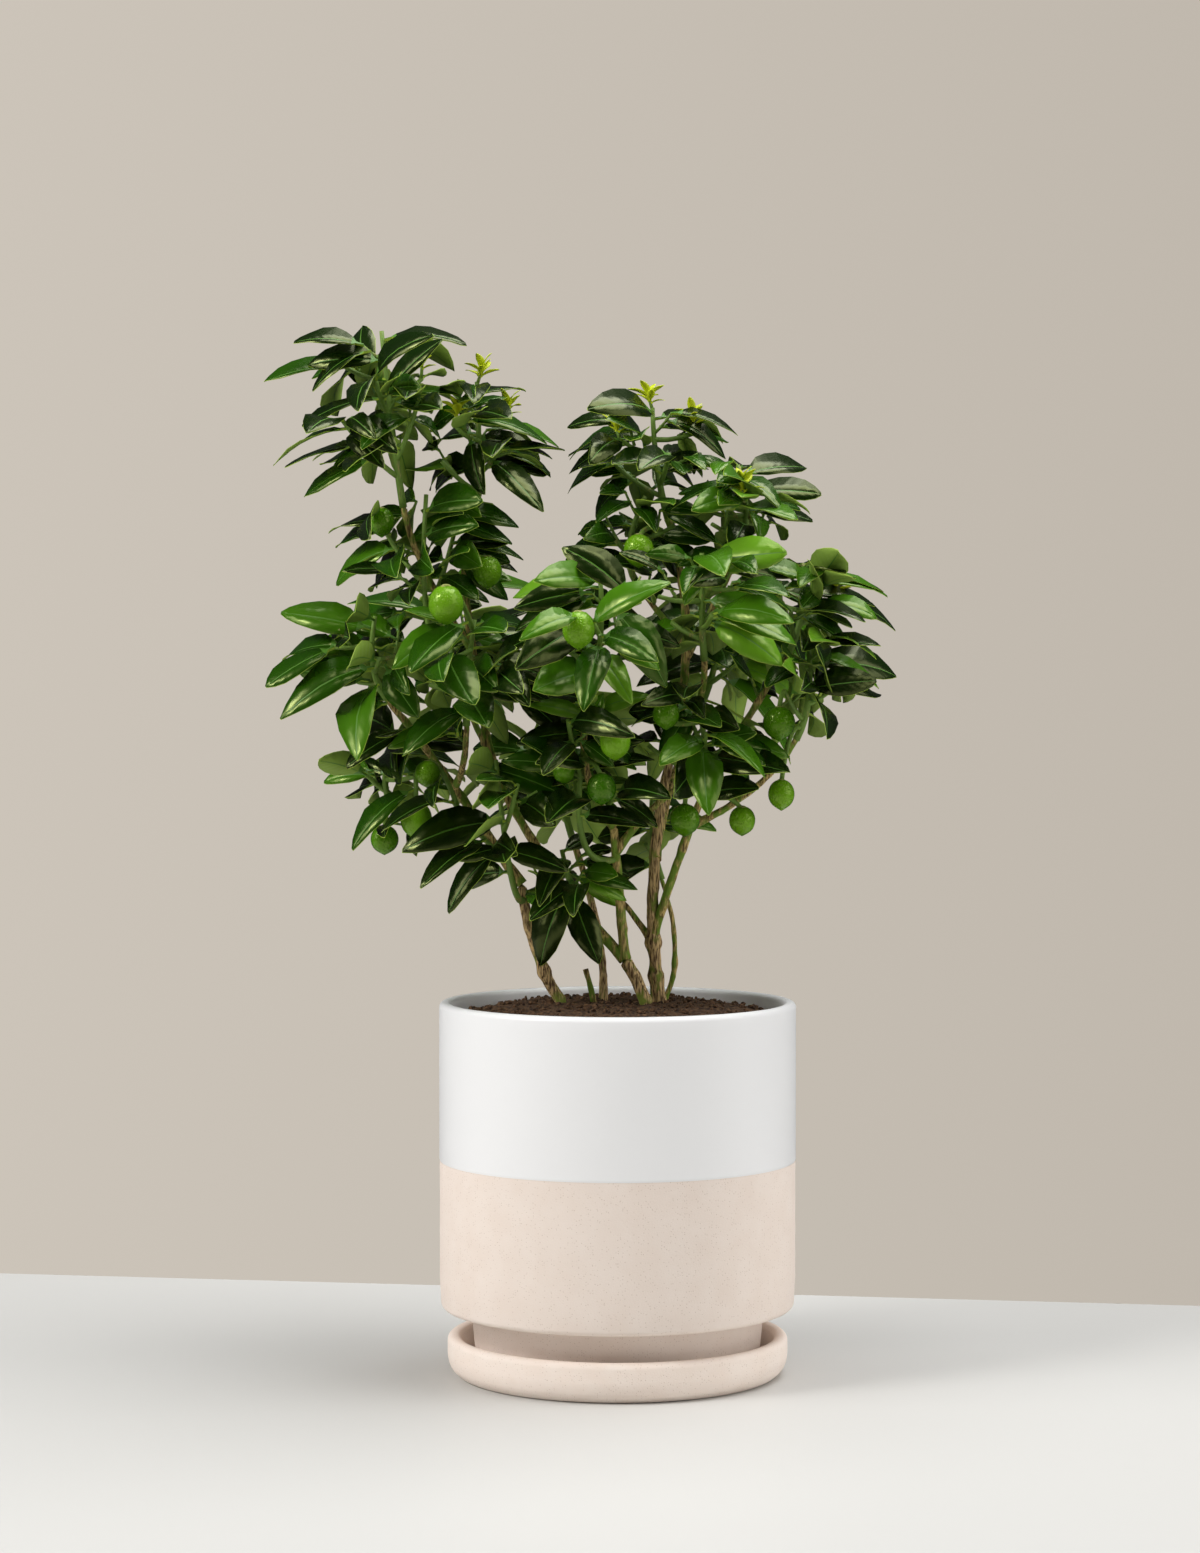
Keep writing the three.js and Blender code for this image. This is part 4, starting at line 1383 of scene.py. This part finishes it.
    def grow_finer(self, mass: Mass, beads: Beads) -> None:
        """Grow finer twigs with their own leaves on every shoot, and new growth at the tips.

        Args:
            mass: the mass.
            beads: the beads of all limbs, shoots and limes.
        """
        random = Numbers(mass.spec.seed + FINER_STREAM)
        shoots = [shoot for shoot in mass.shoots if not shoot.stalk]
        for shoot in shoots:
            count = max(1, round(shoot.length / self.shoot_step))
            for k in range(count):
                self.finer_twig(mass, shoot, beads, mix(0.2, 0.98, (k + 0.5) / count), k, random)
        for place in mass.spec.new_growth:
            self.sprout(mass, shoots[place], random)
        self.leafy_limbs(mass, beads, random)

    def leafy_limbs(self, mass: Mass, beads: Beads, random: Numbers) -> None:
        """Grow finer twigs straight from the limbs, where a limb runs through or just under the mass.

        Args:
            mass: the mass.
            beads: the beads of all limbs, shoots and limes.
            random: the finer growth's numbers.
        """
        for limb in self.limbs.values():
            bearer = Shoot(limb.curve, limb.spec.radius, 0)
            count = max(1, round(limb.length / self.limb_step))
            for k in range(count):
                t = (k + 0.5) / count
                place = bearer.on(t)
                through = mass.in_reach(place, 1.7) and self.in_cell(mass, place[None]).all()
                if place[2] > self.bare_below and through:
                    self.finer_twig(mass, bearer, beads, t, k, random)

    @staticmethod
    def tone(spray: float, random: Numbers) -> int:
        """A leaf's tone from its spray's number, with a leaf now and then a step off."""
        value = 0.75 * spray + 0.25 * random.next()
        return sum(int(value > step) for step in TONE_STEPS)

    def finer_twig(self, mass: Mass, shoot: Shoot, beads: Beads, t: float, k: int, random: Numbers) -> None:
        """Grow one finer twig with up to three leaves, left out where it would leave the mass's space.

        Args:
            mass: the mass.
            shoot: what carries it.
            beads: the beads of all limbs, shoots and limes.
            t: its share of the shoot.
            k: its number on the shoot.
            random: the finer growth's numbers.
        """
        start = shoot.on(t)
        axis = shoot.curve.heading(t)
        side, across = shoot.curve.square(t)
        angle = (k + 0.5) * GOLDEN_ANGLE + random.next()
        length = mix(*self.finer_lengths, random.next())
        direction = (side * math.cos(angle) + across * math.sin(angle)) * 0.9 + axis * 0.6
        end = start + unit(direction + np.array([0, 0, 0.15])) * length
        handle = (start + end) / 2 + np.array([0, 0, -0.1 * length])
        curve = Curve(start, handle, end)
        path = Beads.along(curve, lambda s: np.full(np.shape(s), 1.0), 0).at[2:]
        if not (mass.in_reach(path, 0.95).all() and self.in_cell(mass, path).all()):
            return
        if not self.clear_of_limbs(path, 1.5):
            return
        twig = Shoot(curve, self.finer_radii, self.owner())
        spray = random.next()
        facing = self.facing(mass)
        leaves = []
        for place, spread in self.finer_leaves:
            size = LEAF_LENGTH * mix(*self.finer_sizes, random.next())
            turn = angle + place * 9
            leaf = self.try_leaf(mass, twig, beads, place, turn, spread, size, facing, random, True)
            if leaf:
                leaf.tone = self.tone(spray, random)
                leaves.append(leaf)
        if leaves:
            mass.shoots.append(twig)

    def sprout(self, mass: Mass, shoot: Shoot, random: Numbers) -> None:
        """Grow a tuft of small new leaves that stands up from a shoot's tip.

        Args:
            mass: the mass.
            shoot: the shoot.
            random: the finer growth's numbers.
        """
        start = shoot.on(0.98)
        lean_x, lean_y = 8 * (random.next() - 0.5), 8 * (random.next() - 0.5)
        end = start + np.array([lean_x, lean_y, mix(*self.tuft_lengths, random.next())])
        twig = Shoot(Curve(start, (start + end) / 2, end), self.tuft_radii, self.owner())
        mass.shoots.append(twig)
        for k in range(self.tuft_leaves):
            angle = k * GOLDEN_ANGLE
            share = k / (self.tuft_leaves - 1)
            lean = mix(0.95, 0.2, share)
            flat = math.sin(lean)
            out = np.array([math.cos(angle) * flat, math.sin(angle) * flat, math.cos(lean)])
            upwards = np.array([-out[0], -out[1], 0.6])
            root = twig.on(mix(0.45, 1.0, share))
            size = mix(*self.tuft_lengths, random.next())
            mass.buds.append(Leaf.grown(root, out, upwards, size, random))


# Pieces of the plant

@dataclass
class Bark:
    """The stems and boughs, each a mesh with its bark's relief."""

    sides: int = 18
    ring_spacing: float = 2.6
    node_spacing: float = 21.0
    node_width: float = 2.0
    knot_width: float = 4.5
    streak_depth: float = 0.6
    streak_length: float = 9.0
    streaks_round: float = 0.9  # how many to a millimetre round the limb
    lump_depth: float = 1.0
    lump_length: float = 13.0
    lumps_round: float = 0.22
    full_radius: float = 5.0  # the radius at which lumps and nodes stand out in full
    collar: float = 0.42  # how much thicker a bough is where it leaves its parent
    collar_length: float = 9.0
    sink: float = 3.0  # how far a stem's foot runs on into the soil

    def radius(self, limb: Limb, points: np.ndarray) -> np.ndarray:
        """Work out the radius with taper, flare, collar, nodes, knots, lumps, streaks and rounded tip.

        Args:
            limb: the limb.
            points: the points of its straight rod.

        Returns:
            The radius at each point.
        """
        t = points[:, 2]
        base = np.asarray(limb.radius_at(t))
        s = t * limb.length
        collar = self.collar * np.exp(-s / self.collar_length) if limb.spec.parent else 0.0
        seed = sum(map(ord, limb.spec.name))
        raised = np.zeros(len(points))
        for i, (x, y, _) in enumerate(points):
            ring = Vector((x * base[i], y * base[i], 0))
            streak = noise.noise(ring * self.streaks_round + Vector((seed, 0, s[i] / self.streak_length)))
            lump = noise.noise(ring * self.lumps_round + Vector((0, seed, s[i] / self.lump_length)))
            raised[i] = self.streak_depth * streak + self.lump_depth * lump * base[i] / self.full_radius
        k = np.round(s / self.node_spacing)
        near = np.exp(-(((s - k * self.node_spacing) / self.node_width) ** 2)) * (k > 0)
        facing = np.cos(np.arctan2(points[:, 1], points[:, 0]) - 1.7 * k * k - seed).clip(0)
        node_bump = near * (0.15 + 0.8 * facing**2) * base / self.full_radius
        for share, swelling in limb.spec.knots:
            node_bump = node_bump + swelling * np.exp(-(((t - share) * limb.length / self.knot_width) ** 2))
        past = ((s - limb.length + base) / base).clip(0, 0.0 if limb.spec.cut else 0.97)
        rounded = np.sqrt(1 - past**2)
        return (base * (1 + collar) + raised + node_bump) * rounded

    def build(self, limb: Limb, materials: Sequence[bpy.types.Material]) -> bpy.types.Object:
        """Build one limb's piece.

        Args:
            limb: the limb.
            materials: its material slots.

        Returns:
            The piece.
        """
        rings = max(6, round(limb.length / self.ring_spacing))
        shape = rod(self.sides, rings)
        points = bend(shape.points, limb.curve, lambda t: self.radius(limb, shape.points))
        if not limb.spec.parent:
            foot = shape.points[:, 2] < 1e-6
            points[foot, 2] = SOIL_LEVEL - self.sink
        heap = Heap()
        heap.put(shape, points)
        piece = heap.piece(limb.spec.name + "_bark", materials)
        slot = "bark" if limb.spec.old else "green_wood"
        return finish_piece(piece, slot, limb.spec.name)


@dataclass
class LeafPattern:
    """The one closed leaf that every leaf is a copy of: a stalk and a blade, with a midrib on both sides."""

    rows: tuple[float, ...] = (0.0, 0.12, 0.19, 0.3, 0.46, 0.64, 0.81, 0.93, 1.0)
    columns: tuple[float, ...] = (-1.0, -0.04, 0.04, 1.0)
    stalk_share: float = 0.13  # the stalk's length over the leaf's
    half_width: float = 0.475  # the blade's greatest half width over its full width
    stalk_half: float = 0.9  # the stalk's half width in millimetres
    folds: tuple[float, float] = (0.12, 0.55)  # how far the blade's halves rise, over their width
    twists: tuple[float, float] = (-0.7, 0.7)  # radians from root to tip
    sways: tuple[float, float] = (-0.09, 0.09)  # how far the tip bends aside, over the length
    curls: tuple[float, float] = (-0.05, 0.26)  # how far the tip curls down, over the length
    wave: float = 0.03  # the edge's waves over the width
    wave_turns: tuple[float, float] = (9.0, 15.0)  # radians of wave from root to tip

    def __post_init__(self) -> None:
        """Make the flat leaf, its underside and its parts."""
        mesh = bmesh.new()
        bmesh.ops.create_grid(mesh, x_segments=len(self.rows) - 1, y_segments=len(self.columns) - 1, size=0.5)
        for vert in mesh.verts:
            row = round((vert.co.x + 0.5) * (len(self.rows) - 1))
            column = round((vert.co.y + 0.5) * (len(self.columns) - 1))
            vert.co = (self.rows[row], self.columns[column], 1)
        made = bmesh.ops.extrude_face_region(mesh, geom=mesh.faces[:])
        lower = [item for item in made["geom"] if isinstance(item, bmesh.types.BMVert)]
        bmesh.ops.translate(mesh, vec=(0, 0, -2), verts=lower)
        bmesh.ops.recalc_face_normals(mesh, faces=mesh.faces[:])
        layer = mesh.loops.layers.uv.new("place")
        for face in mesh.faces:
            centre = face.calc_center_median()
            face.smooth = abs(centre.z) > 0.5
            face.material_index = self.part_of(centre)
            for loop in face.loops:
                loop[layer].uv = (loop.vert.co.x, 0.5 + 0.5 * loop.vert.co.y)
        self.shape = Shape.of(mesh)

    def part_of(self, centre: Vector) -> int:
        """Tell which part a face belongs to.

        Args:
            centre: the face's centre on the flat leaf.

        Returns:
            The part's number.
        """
        if abs(centre.z) < 0.5:
            return LeafPart.EDGE.value
        if abs(centre.y) < 0.1 or centre.x < self.rows[2]:
            return LeafPart.RIB.value
        return LeafPart.BLADE.value if centre.z > 0 else LeafPart.UNDERSIDE.value

    def slots(self, tone: int) -> np.ndarray:
        """The material slot of each face of a leaf of a tone."""
        part = self.shape.slots
        return np.where(part == LeafPart.BLADE.value, tone, part - 1 + len(LEAF_TONES))

    def placed(self, leaf: Leaf, random: Numbers, thickness: float = 0.45) -> np.ndarray:
        """Where the pattern's points go for one leaf.

        Args:
            leaf: the leaf.
            random: numbers for its fold, twist, side bend, waves and curl.
            thickness: the blade's thickness in millimetres.

        Returns:
            The points in millimetres.
        """
        u, v, layer = self.shape.points.T
        blade = ((u - self.stalk_share) / (1 - self.stalk_share)).clip(0, 1)
        half = self.half_width * leaf.width * np.sin(np.pi * blade**0.94).clip(0) ** 0.64
        half = np.maximum(half, np.where(u < 0.2, self.stalk_half, 0.035 * leaf.width))
        fold = mix(*self.folds, random.next()) * (1 - 0.5 * u)
        twist = mix(*self.twists, random.next()) * u
        sway = mix(*self.sways, random.next()) * leaf.length * u**2
        phase = random.next() * 6.3
        turns = u * mix(*self.wave_turns, random.next())
        waves = self.wave * leaf.width * np.sin(turns + phase + 1.6 * v) * np.abs(v)
        curl = mix(*self.curls, random.next()) * leaf.length * u**3
        thick = 0.5 * np.where(u < 0.12, 1.7, thickness + 0.5 * (np.abs(v) < 0.2) * (1 - u))
        arch = -leaf.arch * leaf.length * u**2
        lift = arch - curl + fold * np.abs(v) * half + waves * (blade > 0) + thick * layer
        turned_across = (v * half + sway) * np.cos(twist)
        turned_lift = lift + v * half * np.sin(twist)
        return (
            leaf.root
            + (u * leaf.length)[:, None] * leaf.along
            + turned_across[:, None] * leaf.across
            + turned_lift[:, None] * leaf.up
        )


def lime_shape(sides: int = 20, rings: int = 13) -> Shape:
    """Make a lime of radius 1, drawn to a small point below, with a calyx of five lobes on top.

    Args:
        sides: the number of its sides.
        rings: the number of its rings from the point to the top.

    Returns:
        The lime's shape.
    """
    mesh = bmesh.new()
    outline = []
    for i in range(rings + 1):
        turn = math.pi * i / rings
        point = 0.16 * math.exp(-((turn / 0.22) ** 2))
        outline.append(mesh.verts.new((abs(math.sin(turn)) ** 0.94, 0, -1.02 * math.cos(turn) - point)))
    edges = [mesh.edges.new(pair) for pair in zip(outline, outline[1:])]
    bmesh.ops.spin(mesh, geom=outline + edges, axis=(0, 0, 1), cent=(0, 0, 0), steps=sides, angle=2 * math.pi,
                   use_merge=True)
    bmesh.ops.remove_doubles(mesh, verts=mesh.verts, dist=1e-4)
    bmesh.ops.recalc_face_normals(mesh, faces=mesh.faces[:])
    for face in mesh.faces:
        face.smooth = True
    body = set(mesh.verts)
    bmesh.ops.create_cone(mesh, cap_ends=True, segments=10, radius1=0.34, radius2=0.2, depth=0.09,
                          matrix=Matrix.Translation((0, 0, 1.0)))
    for vert in [v for v in mesh.verts if v not in body]:
        on_rim = math.hypot(vert.co.x, vert.co.y) > 0.3
        between_lobes = round(math.atan2(vert.co.y, vert.co.x) / (math.pi / 5)) % 2
        if on_rim and between_lobes:
            vert.co.x *= 0.6
            vert.co.y *= 0.6
    for face in mesh.faces:
        face.material_index = 0 if any(v in body for v in face.verts) else len(LIME_TONES)
    return Shape.of(mesh)


@dataclass
class Foliage:
    """The twigs, leaves, limes and new growth of every mass, each kind its own piece."""

    twig_sides: int = 8
    short_rod: int = 3  # the number of lengths that a short shoot is cut into
    middle_rod: int = 8
    long_rod: int = 14
    short: float = 34.0
    long: float = 80.0
    thin_blade: float = 0.4  # the thickness of a new leaf
    sink: float = 2.5  # how far a main shoot starts inside its limb

    def __post_init__(self) -> None:
        """Make the shapes that are copied and the materials."""
        self.leaf = LeafPattern()
        self.lime = lime_shape()
        cuts = (self.short_rod, self.middle_rod, self.long_rod)
        self.rods = {rings: rod(self.twig_sides, rings) for rings in cuts}
        self.leaf_materials = [f.material() for f in LEAF_TONES + LEAF_PARTS]
        self.bud_materials = [BUD_TONE.material()]
        self.twig_material = TWIG_BARK.material()
        self.lime_materials = [f.material() for f in LIME_TONES] + [CALYX.material()]

    def build(self, mass: Mass) -> None:
        """Replace one mass's node by its pieces.

        Args:
            mass: the mass.
        """
        name = mass.spec.name
        random = Numbers(mass.spec.seed + POSE_STREAM)
        finish_piece(self.twigs(mass).piece(name + "_twigs", [self.twig_material]), "foliage", name)
        leaves = Heap()
        for leaf in mass.leaves:
            leaves.put(self.leaf.shape, self.leaf.placed(leaf, random), self.leaf.slots(leaf.tone))
        finish_piece(leaves.piece(name + "_leaves", self.leaf_materials), "foliage", name)
        if mass.buds:
            buds = Heap()
            for leaf in mass.buds:
                points = self.leaf.placed(leaf, random, self.thin_blade)
                buds.put(self.leaf.shape, points, np.zeros_like(self.leaf.shape.slots))
            finish_piece(buds.piece(name + "_new_growth", self.bud_materials), "foliage", name)
        if mass.spec.limes:
            limes = Heap()
            for lime in mass.spec.limes:
                self.hang(limes, lime, random)
            finish_piece(limes.piece(name + "_limes", self.lime_materials), "foliage", name)

    def twigs(self, mass: Mass) -> Heap:
        """Gather every shoot, stalk and finer twig of a mass.

        Args:
            mass: the mass.

        Returns:
            The heap, in which the main shoot starts a little inside its limb.
        """
        heap = Heap()
        for shoot in mass.shoots:
            rings = self.short_rod if shoot.length < self.short else self.middle_rod
            if shoot.length >= self.long:
                rings = self.long_rod
            shape = self.rods[rings]
            curve = Curve(shoot.curve.start, shoot.curve.handle, shoot.curve.end)
            if shoot is mass.shoots[0]:
                curve.start = curve.start - curve.heading(0.0) * self.sink
            heap.put(shape, bend(shape.points, curve, shoot.radius_at))
        return heap

    def hang(self, heap: Heap, lime: Sequence[float], random: Numbers) -> None:
        """Add one lime, slightly longer or shorter and leaning a little.

        Args:
            heap: where it is added.
            lime: its centre's x, y and z and its radius.
            random: numbers for its shape, lean and tone.
        """
        x, y, z, radius = lime
        stretch = mix(0.98, 1.1, random.next())
        lean = Matrix.Rotation(mix(-0.25, 0.25, random.next()), 3, "X")
        turn = Matrix.Rotation(random.next() * 6, 3, "Z")
        points = self.lime.points * (radius, radius, radius * stretch) @ np.array(lean @ turn).T
        tone = min(int(random.next() * len(LIME_TONES)), len(LIME_TONES) - 1)
        slots = np.where(self.lime.slots == 0, tone, self.lime.slots)
        heap.put(self.lime, points + (x, y, z), slots)


# Pot, saucer and soil

def turned(
    outline: Sequence[tuple[float, float]], rounds: dict[int, float], steps: int = 128
) -> bmesh.types.BMesh:
    """Turn an outline round the pot's axis.

    Args:
        outline: the corners as radius and height, from the axis round and back to it.
        rounds: for each corner that is rounded, by its place in the outline, how far its round reaches.
        steps: the number of steps in a full turn.

    Returns:
        The closed solid in millimetres.
    """
    mesh = bmesh.new()
    corners = [mesh.verts.new((radius, 0, z)) for radius, z in outline]
    for pair in zip(corners, corners[1:]):
        mesh.edges.new(pair)
    for place, reach in rounds.items():
        bmesh.ops.bevel(mesh, geom=[corners[place]], offset=reach, offset_type="OFFSET", segments=6,
                        profile=0.5, affect="VERTICES", material=-1)
    bmesh.ops.spin(mesh, geom=mesh.verts[:] + mesh.edges[:], axis=(0, 0, 1), cent=(0, 0, 0), steps=steps,
                   angle=2 * math.pi, use_merge=True)
    bmesh.ops.remove_doubles(mesh, verts=mesh.verts, dist=1e-3)
    bmesh.ops.recalc_face_normals(mesh, faces=mesh.faces[:])
    for face in mesh.faces:
        face.smooth = True
    return mesh


@dataclass
class Pot:
    """The straight-sided stoneware pot: glazed white above, bare below, on a foot that is set in."""

    radius: float = POT_RADIUS
    top: float = POT_TOP
    wall: float = 8.5
    underside: float = 46.0
    foot_radius: float = 100.5
    foot: float = 7.0
    inside_floor: float = 37.0
    glaze_step: float = 0.3

    def build(self) -> bpy.types.Object:
        """Build the pot, with its glaze as one material and its bare clay as another.

        Returns:
            The pot's piece.
        """
        inner = self.radius - self.wall
        bare = self.radius - self.glaze_step
        outline = [
            (0, self.foot), (self.foot_radius - 4, self.foot), (self.foot_radius, self.underside - 1),
            (bare - 1, self.underside), (bare, self.underside + 20), (bare, GLAZE_LINE - 1.2),
            (bare, GLAZE_LINE - 0.4), (self.radius, GLAZE_LINE + 0.4), (self.radius, GLAZE_LINE + 1.2),
            (self.radius, self.top - 8), (self.radius, self.top), (inner, self.top), (inner, self.top - 8),
            (inner, self.underside + 16), (self.foot_radius - 12, self.inside_floor), (0, self.inside_floor),
        ]
        mesh = turned(outline, {11: 3.6, 10: 3.6, 3: 3.5, 2: 1.5, 1: 2.0})
        for face in mesh.faces:
            centre = face.calc_center_median()
            inside = math.hypot(centre.x, centre.y) < inner + 1 and centre.z > self.underside
            face.material_index = 0 if centre.z > GLAZE_LINE - 0.5 or inside else 1
        piece = object_of(mesh, "pot_body", [GLAZE.material(), STONEWARE.material()])
        return finish_piece(piece, "glazed_stoneware", "pot")


@dataclass
class Saucer:
    """The saucer: bare stoneware, with a low thick rim rounded over at the top."""

    radius: float = 116.5
    height: float = 27.3
    wall: float = 9.5
    floor: float = 7.0

    def build(self) -> bpy.types.Object:
        """Build the saucer.

        Returns:
            The saucer's piece.
        """
        inner = self.radius - self.wall
        outline = [
            (0, 0), (self.radius - 8, 0), (self.radius - 2.2, 5.0), (self.radius, 12),
            (self.radius, self.height), (inner, self.height), (inner - 1.5, self.floor), (0, self.floor),
        ]
        mesh = turned(outline, {6: 4.0, 5: 4.2, 4: 4.2, 3: 3.0, 2: 3.0, 1: 2.0})
        # its clay is painted paler than the pot's, as painted light
        piece = object_of(mesh, "saucer_dish", [PAINTED_LIGHT_SAUCER_WARE.material()])
        return finish_piece(piece, "stoneware", "saucer")


@dataclass
class Soil:
    """The potting mix: a rough mound, with crumbs of bark and peat lying on it."""

    edge_radius: float = 113.2
    edge: float = 245.0
    plateau: float = 70.0
    floor: float = 62.0
    rings: int = 46
    steps: int = 150
    crumbs: int = 620
    crumb_sizes: tuple[float, float] = (1.0, 3.2)
    seed: int = 77

    def height_at(self, radius: float) -> float:
        """Work out the height of the smooth mound.

        Args:
            radius: the distance from the pot's axis.

        Returns:
            The height there.
        """
        if radius <= self.plateau:
            return SOIL_LEVEL
        return mix(SOIL_LEVEL, self.edge, (radius - self.plateau) / (self.edge_radius - self.plateau))

    def build(self) -> None:
        """Build the mound and its crumbs."""
        material = POTTING_MIX.material()
        top = [(r, self.height_at(r)) for r in np.linspace(0, self.edge_radius, self.rings)]
        mesh = turned(top + [(self.edge_radius, self.floor), (0, self.floor)], {}, self.steps)
        for vert in mesh.verts:
            radius = math.hypot(vert.co.x, vert.co.y)
            if vert.co.z > self.floor + 1 and radius < self.edge_radius - 0.5:
                rough = noise.fractal(vert.co * 0.14, 1.0, 2.0, 4)
                vert.co.z += 1.5 * rough - 0.3
        finish_piece(object_of(mesh, "soil_mound", [material]), "soil", "soil")
        self.scatter(material)

    def scatter(self, material: bpy.types.Material) -> None:
        """Scatter crumbs of a few millimetres over the whole mound, half sunk in.

        Args:
            material: the potting mix.
        """
        mesh = bmesh.new()
        bmesh.ops.create_icosphere(mesh, subdivisions=1, radius=1)
        crumb = Shape.of(mesh)
        random = Numbers(self.seed)
        heap = Heap()
        for _ in range(self.crumbs):
            radius = math.sqrt(random.next()) * (self.edge_radius - 4)
            angle = random.next() * 2 * math.pi
            size = mix(*self.crumb_sizes, random.next() ** 2)
            turn = Matrix.Rotation(random.next() * 6, 3, "Z") @ Matrix.Rotation(random.next() * 3, 3, "X")
            stretch = (size, size * mix(0.5, 1, random.next()), size * mix(0.4, 0.8, random.next()))
            points = crumb.points * stretch @ np.array(turn).T
            place = (radius * math.cos(angle), radius * math.sin(angle), self.height_at(radius) + 0.2 * size)
            heap.put(crumb, points + place)
        finish_piece(heap.piece("soil_crumbs", [material]), "soil", "soil")


# Studio

@dataclass
class Studio:
    """A pale table top before a warm wall, lit from the upper left, the right and above."""

    camera_at: tuple[float, float, float] = (-12.0, -2450.0, 478.0)
    camera_pitch: float = 1.62  # degrees down
    lens: float = 83.15
    table_edge: float = 330.0  # how far behind the pot the table ends
    all_round: float = 0.2  # the strength of the light from all sides
    mirrored: float = 0.08  # its strength in what shines, so that shaded leaves stay deep green
    surroundings: str = "bdbdbb"  # its colour
    # the wall's colour at the left, and at the right darkened by painted shade
    wall_left: str = "ccc4b9"
    wall_right_painted_shade: str = "c0b8ad"
    table_size: tuple[float, float, float] = (4200.0, 3400.0, 40.0)
    table_turn: float = -9.0  # degrees
    aim: float = 0.35  # the height in metres that the lights look at

    def table(self) -> None:
        """Lay the table top, its back edge turned a little as in the photograph."""
        mesh = bmesh.new()
        bmesh.ops.create_cube(mesh, size=1)
        depth, thickness = self.table_size[1:]
        bmesh.ops.scale(mesh, vec=self.table_size, verts=mesh.verts)
        bmesh.ops.translate(mesh, vec=(0, self.table_edge - depth / 2, -thickness / 2), verts=mesh.verts)
        turn = Matrix.Rotation(math.radians(self.table_turn), 3, "Z")
        bmesh.ops.rotate(mesh, cent=(0, self.table_edge, 0), matrix=turn, verts=mesh.verts)
        bmesh.ops.bevel(mesh, geom=mesh.edges[:], offset=3, segments=3, profile=0.5, affect="EDGES",
                        material=-1)
        finish = PlainSkin("table_paint", "c8c7c4", 0.6, grain=3.0)
        object_of(mesh, "table_top", [finish.material()])

    def world(self) -> None:
        """Show the camera a warm grey wall with painted shade that darkens it to the right, and all else a
        dimmer neutral light.
        """
        world = bpy.data.worlds.new("wall_colour")
        bpy.context.scene.world = world
        world.use_nodes = True
        tree = world.node_tree
        tree.nodes.clear()
        way = add(tree, "SeparateXYZ", {0: add(tree, "TexCoord").outputs["Generated"]})
        # painted shade: the wall darkens from left to right
        share = spread_out(tree, way.outputs[0], -0.17, 0.17)
        wall = blend(tree, share, linear(self.wall_left), linear(self.wall_right_painted_shade))
        seen = add(tree, "Background", {"Color": wall, "Strength": 1.0})
        ray = add(tree, "LightPath")
        dimmed = spread_out(tree, ray.outputs["Is Glossy Ray"], 0.0, 1.0, to=(self.all_round, self.mirrored))
        felt = add(tree, "Background", {"Color": linear(self.surroundings), "Strength": dimmed})
        both = add(tree, "MixShader", {0: ray.outputs["Is Camera Ray"], 1: felt.outputs[0],
                                       2: seen.outputs[0]})
        add(tree, "OutputWorld", {"Surface": both.outputs[0]})

    def light(self, name: str, place: Sequence[float], size: float, watts: float, colour: str) -> None:
        """Hang a square soft light that looks at the crown.

        Args:
            name: the light's name.
            place: where it hangs, in metres.
            size: its side in metres.
            watts: its power.
            colour: its colour as hex digits.
        """
        data = bpy.data.lights.new(name, "AREA")
        data.size = size
        data.energy = watts
        data.color = linear(colour)[:3]
        lamp = bpy.data.objects.new(name, data)
        lamp.location = place
        lamp.rotation_euler = (Vector((0, 0, self.aim)) - Vector(place)).to_track_quat("-Z", "Y").to_euler()
        bpy.context.scene.collection.objects.link(lamp)

    def camera(self) -> None:
        """Set up the photograph's camera."""
        data = bpy.data.cameras.new("photo_camera")
        data.sensor_fit = "VERTICAL"
        data.sensor_height = 36
        data.lens = self.lens
        camera = bpy.data.objects.new("photo_camera", data)
        camera.location = [value * MM for value in self.camera_at]
        camera.rotation_euler = (math.radians(90 - self.camera_pitch), 0, 0)
        bpy.context.scene.collection.objects.link(camera)
        bpy.context.scene.camera = camera

    def build(self) -> None:
        """Build everything round the plant."""
        bpy.context.scene.view_settings.view_transform = "Standard"
        self.table()
        self.world()
        self.light("key_light", (-2.3, -0.9, 1.75), size=1.8, watts=44, colour="fffefc")
        self.light("spark_light", (-1.9, -1.1, 2.0), size=0.6, watts=26, colour="fffefc")
        self.light("fill_light", (2.2, -0.85, 1.3), size=2.2, watts=32, colour="fffefc")
        self.light("top_light", (0.45, 0.1, 2.4), size=1.8, watts=58, colour="ffffff")
        self.camera()


def main() -> None:
    """Grow the tree, dress it and set it in the studio."""
    logging.basicConfig(level=logging.INFO, format="%(message)s", force=True)
    tree = Tree()
    leaves = sum(len(mass.leaves) for mass in tree.masses)
    LOG.info("the tree has %d leaves", leaves)
    old, young = OLD_BARK.material(), BOUGH_BARK.material()
    bark = Bark()
    for limb in tree.limbs.values():
        bark.build(limb, [old if limb.spec.old else young])
    foliage = Foliage()
    for mass in tree.masses:
        foliage.build(mass)
    Pot().build()
    Saucer().build()
    Soil().build()
    Studio().build()
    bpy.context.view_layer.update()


if __name__ == "__main__":
    main()
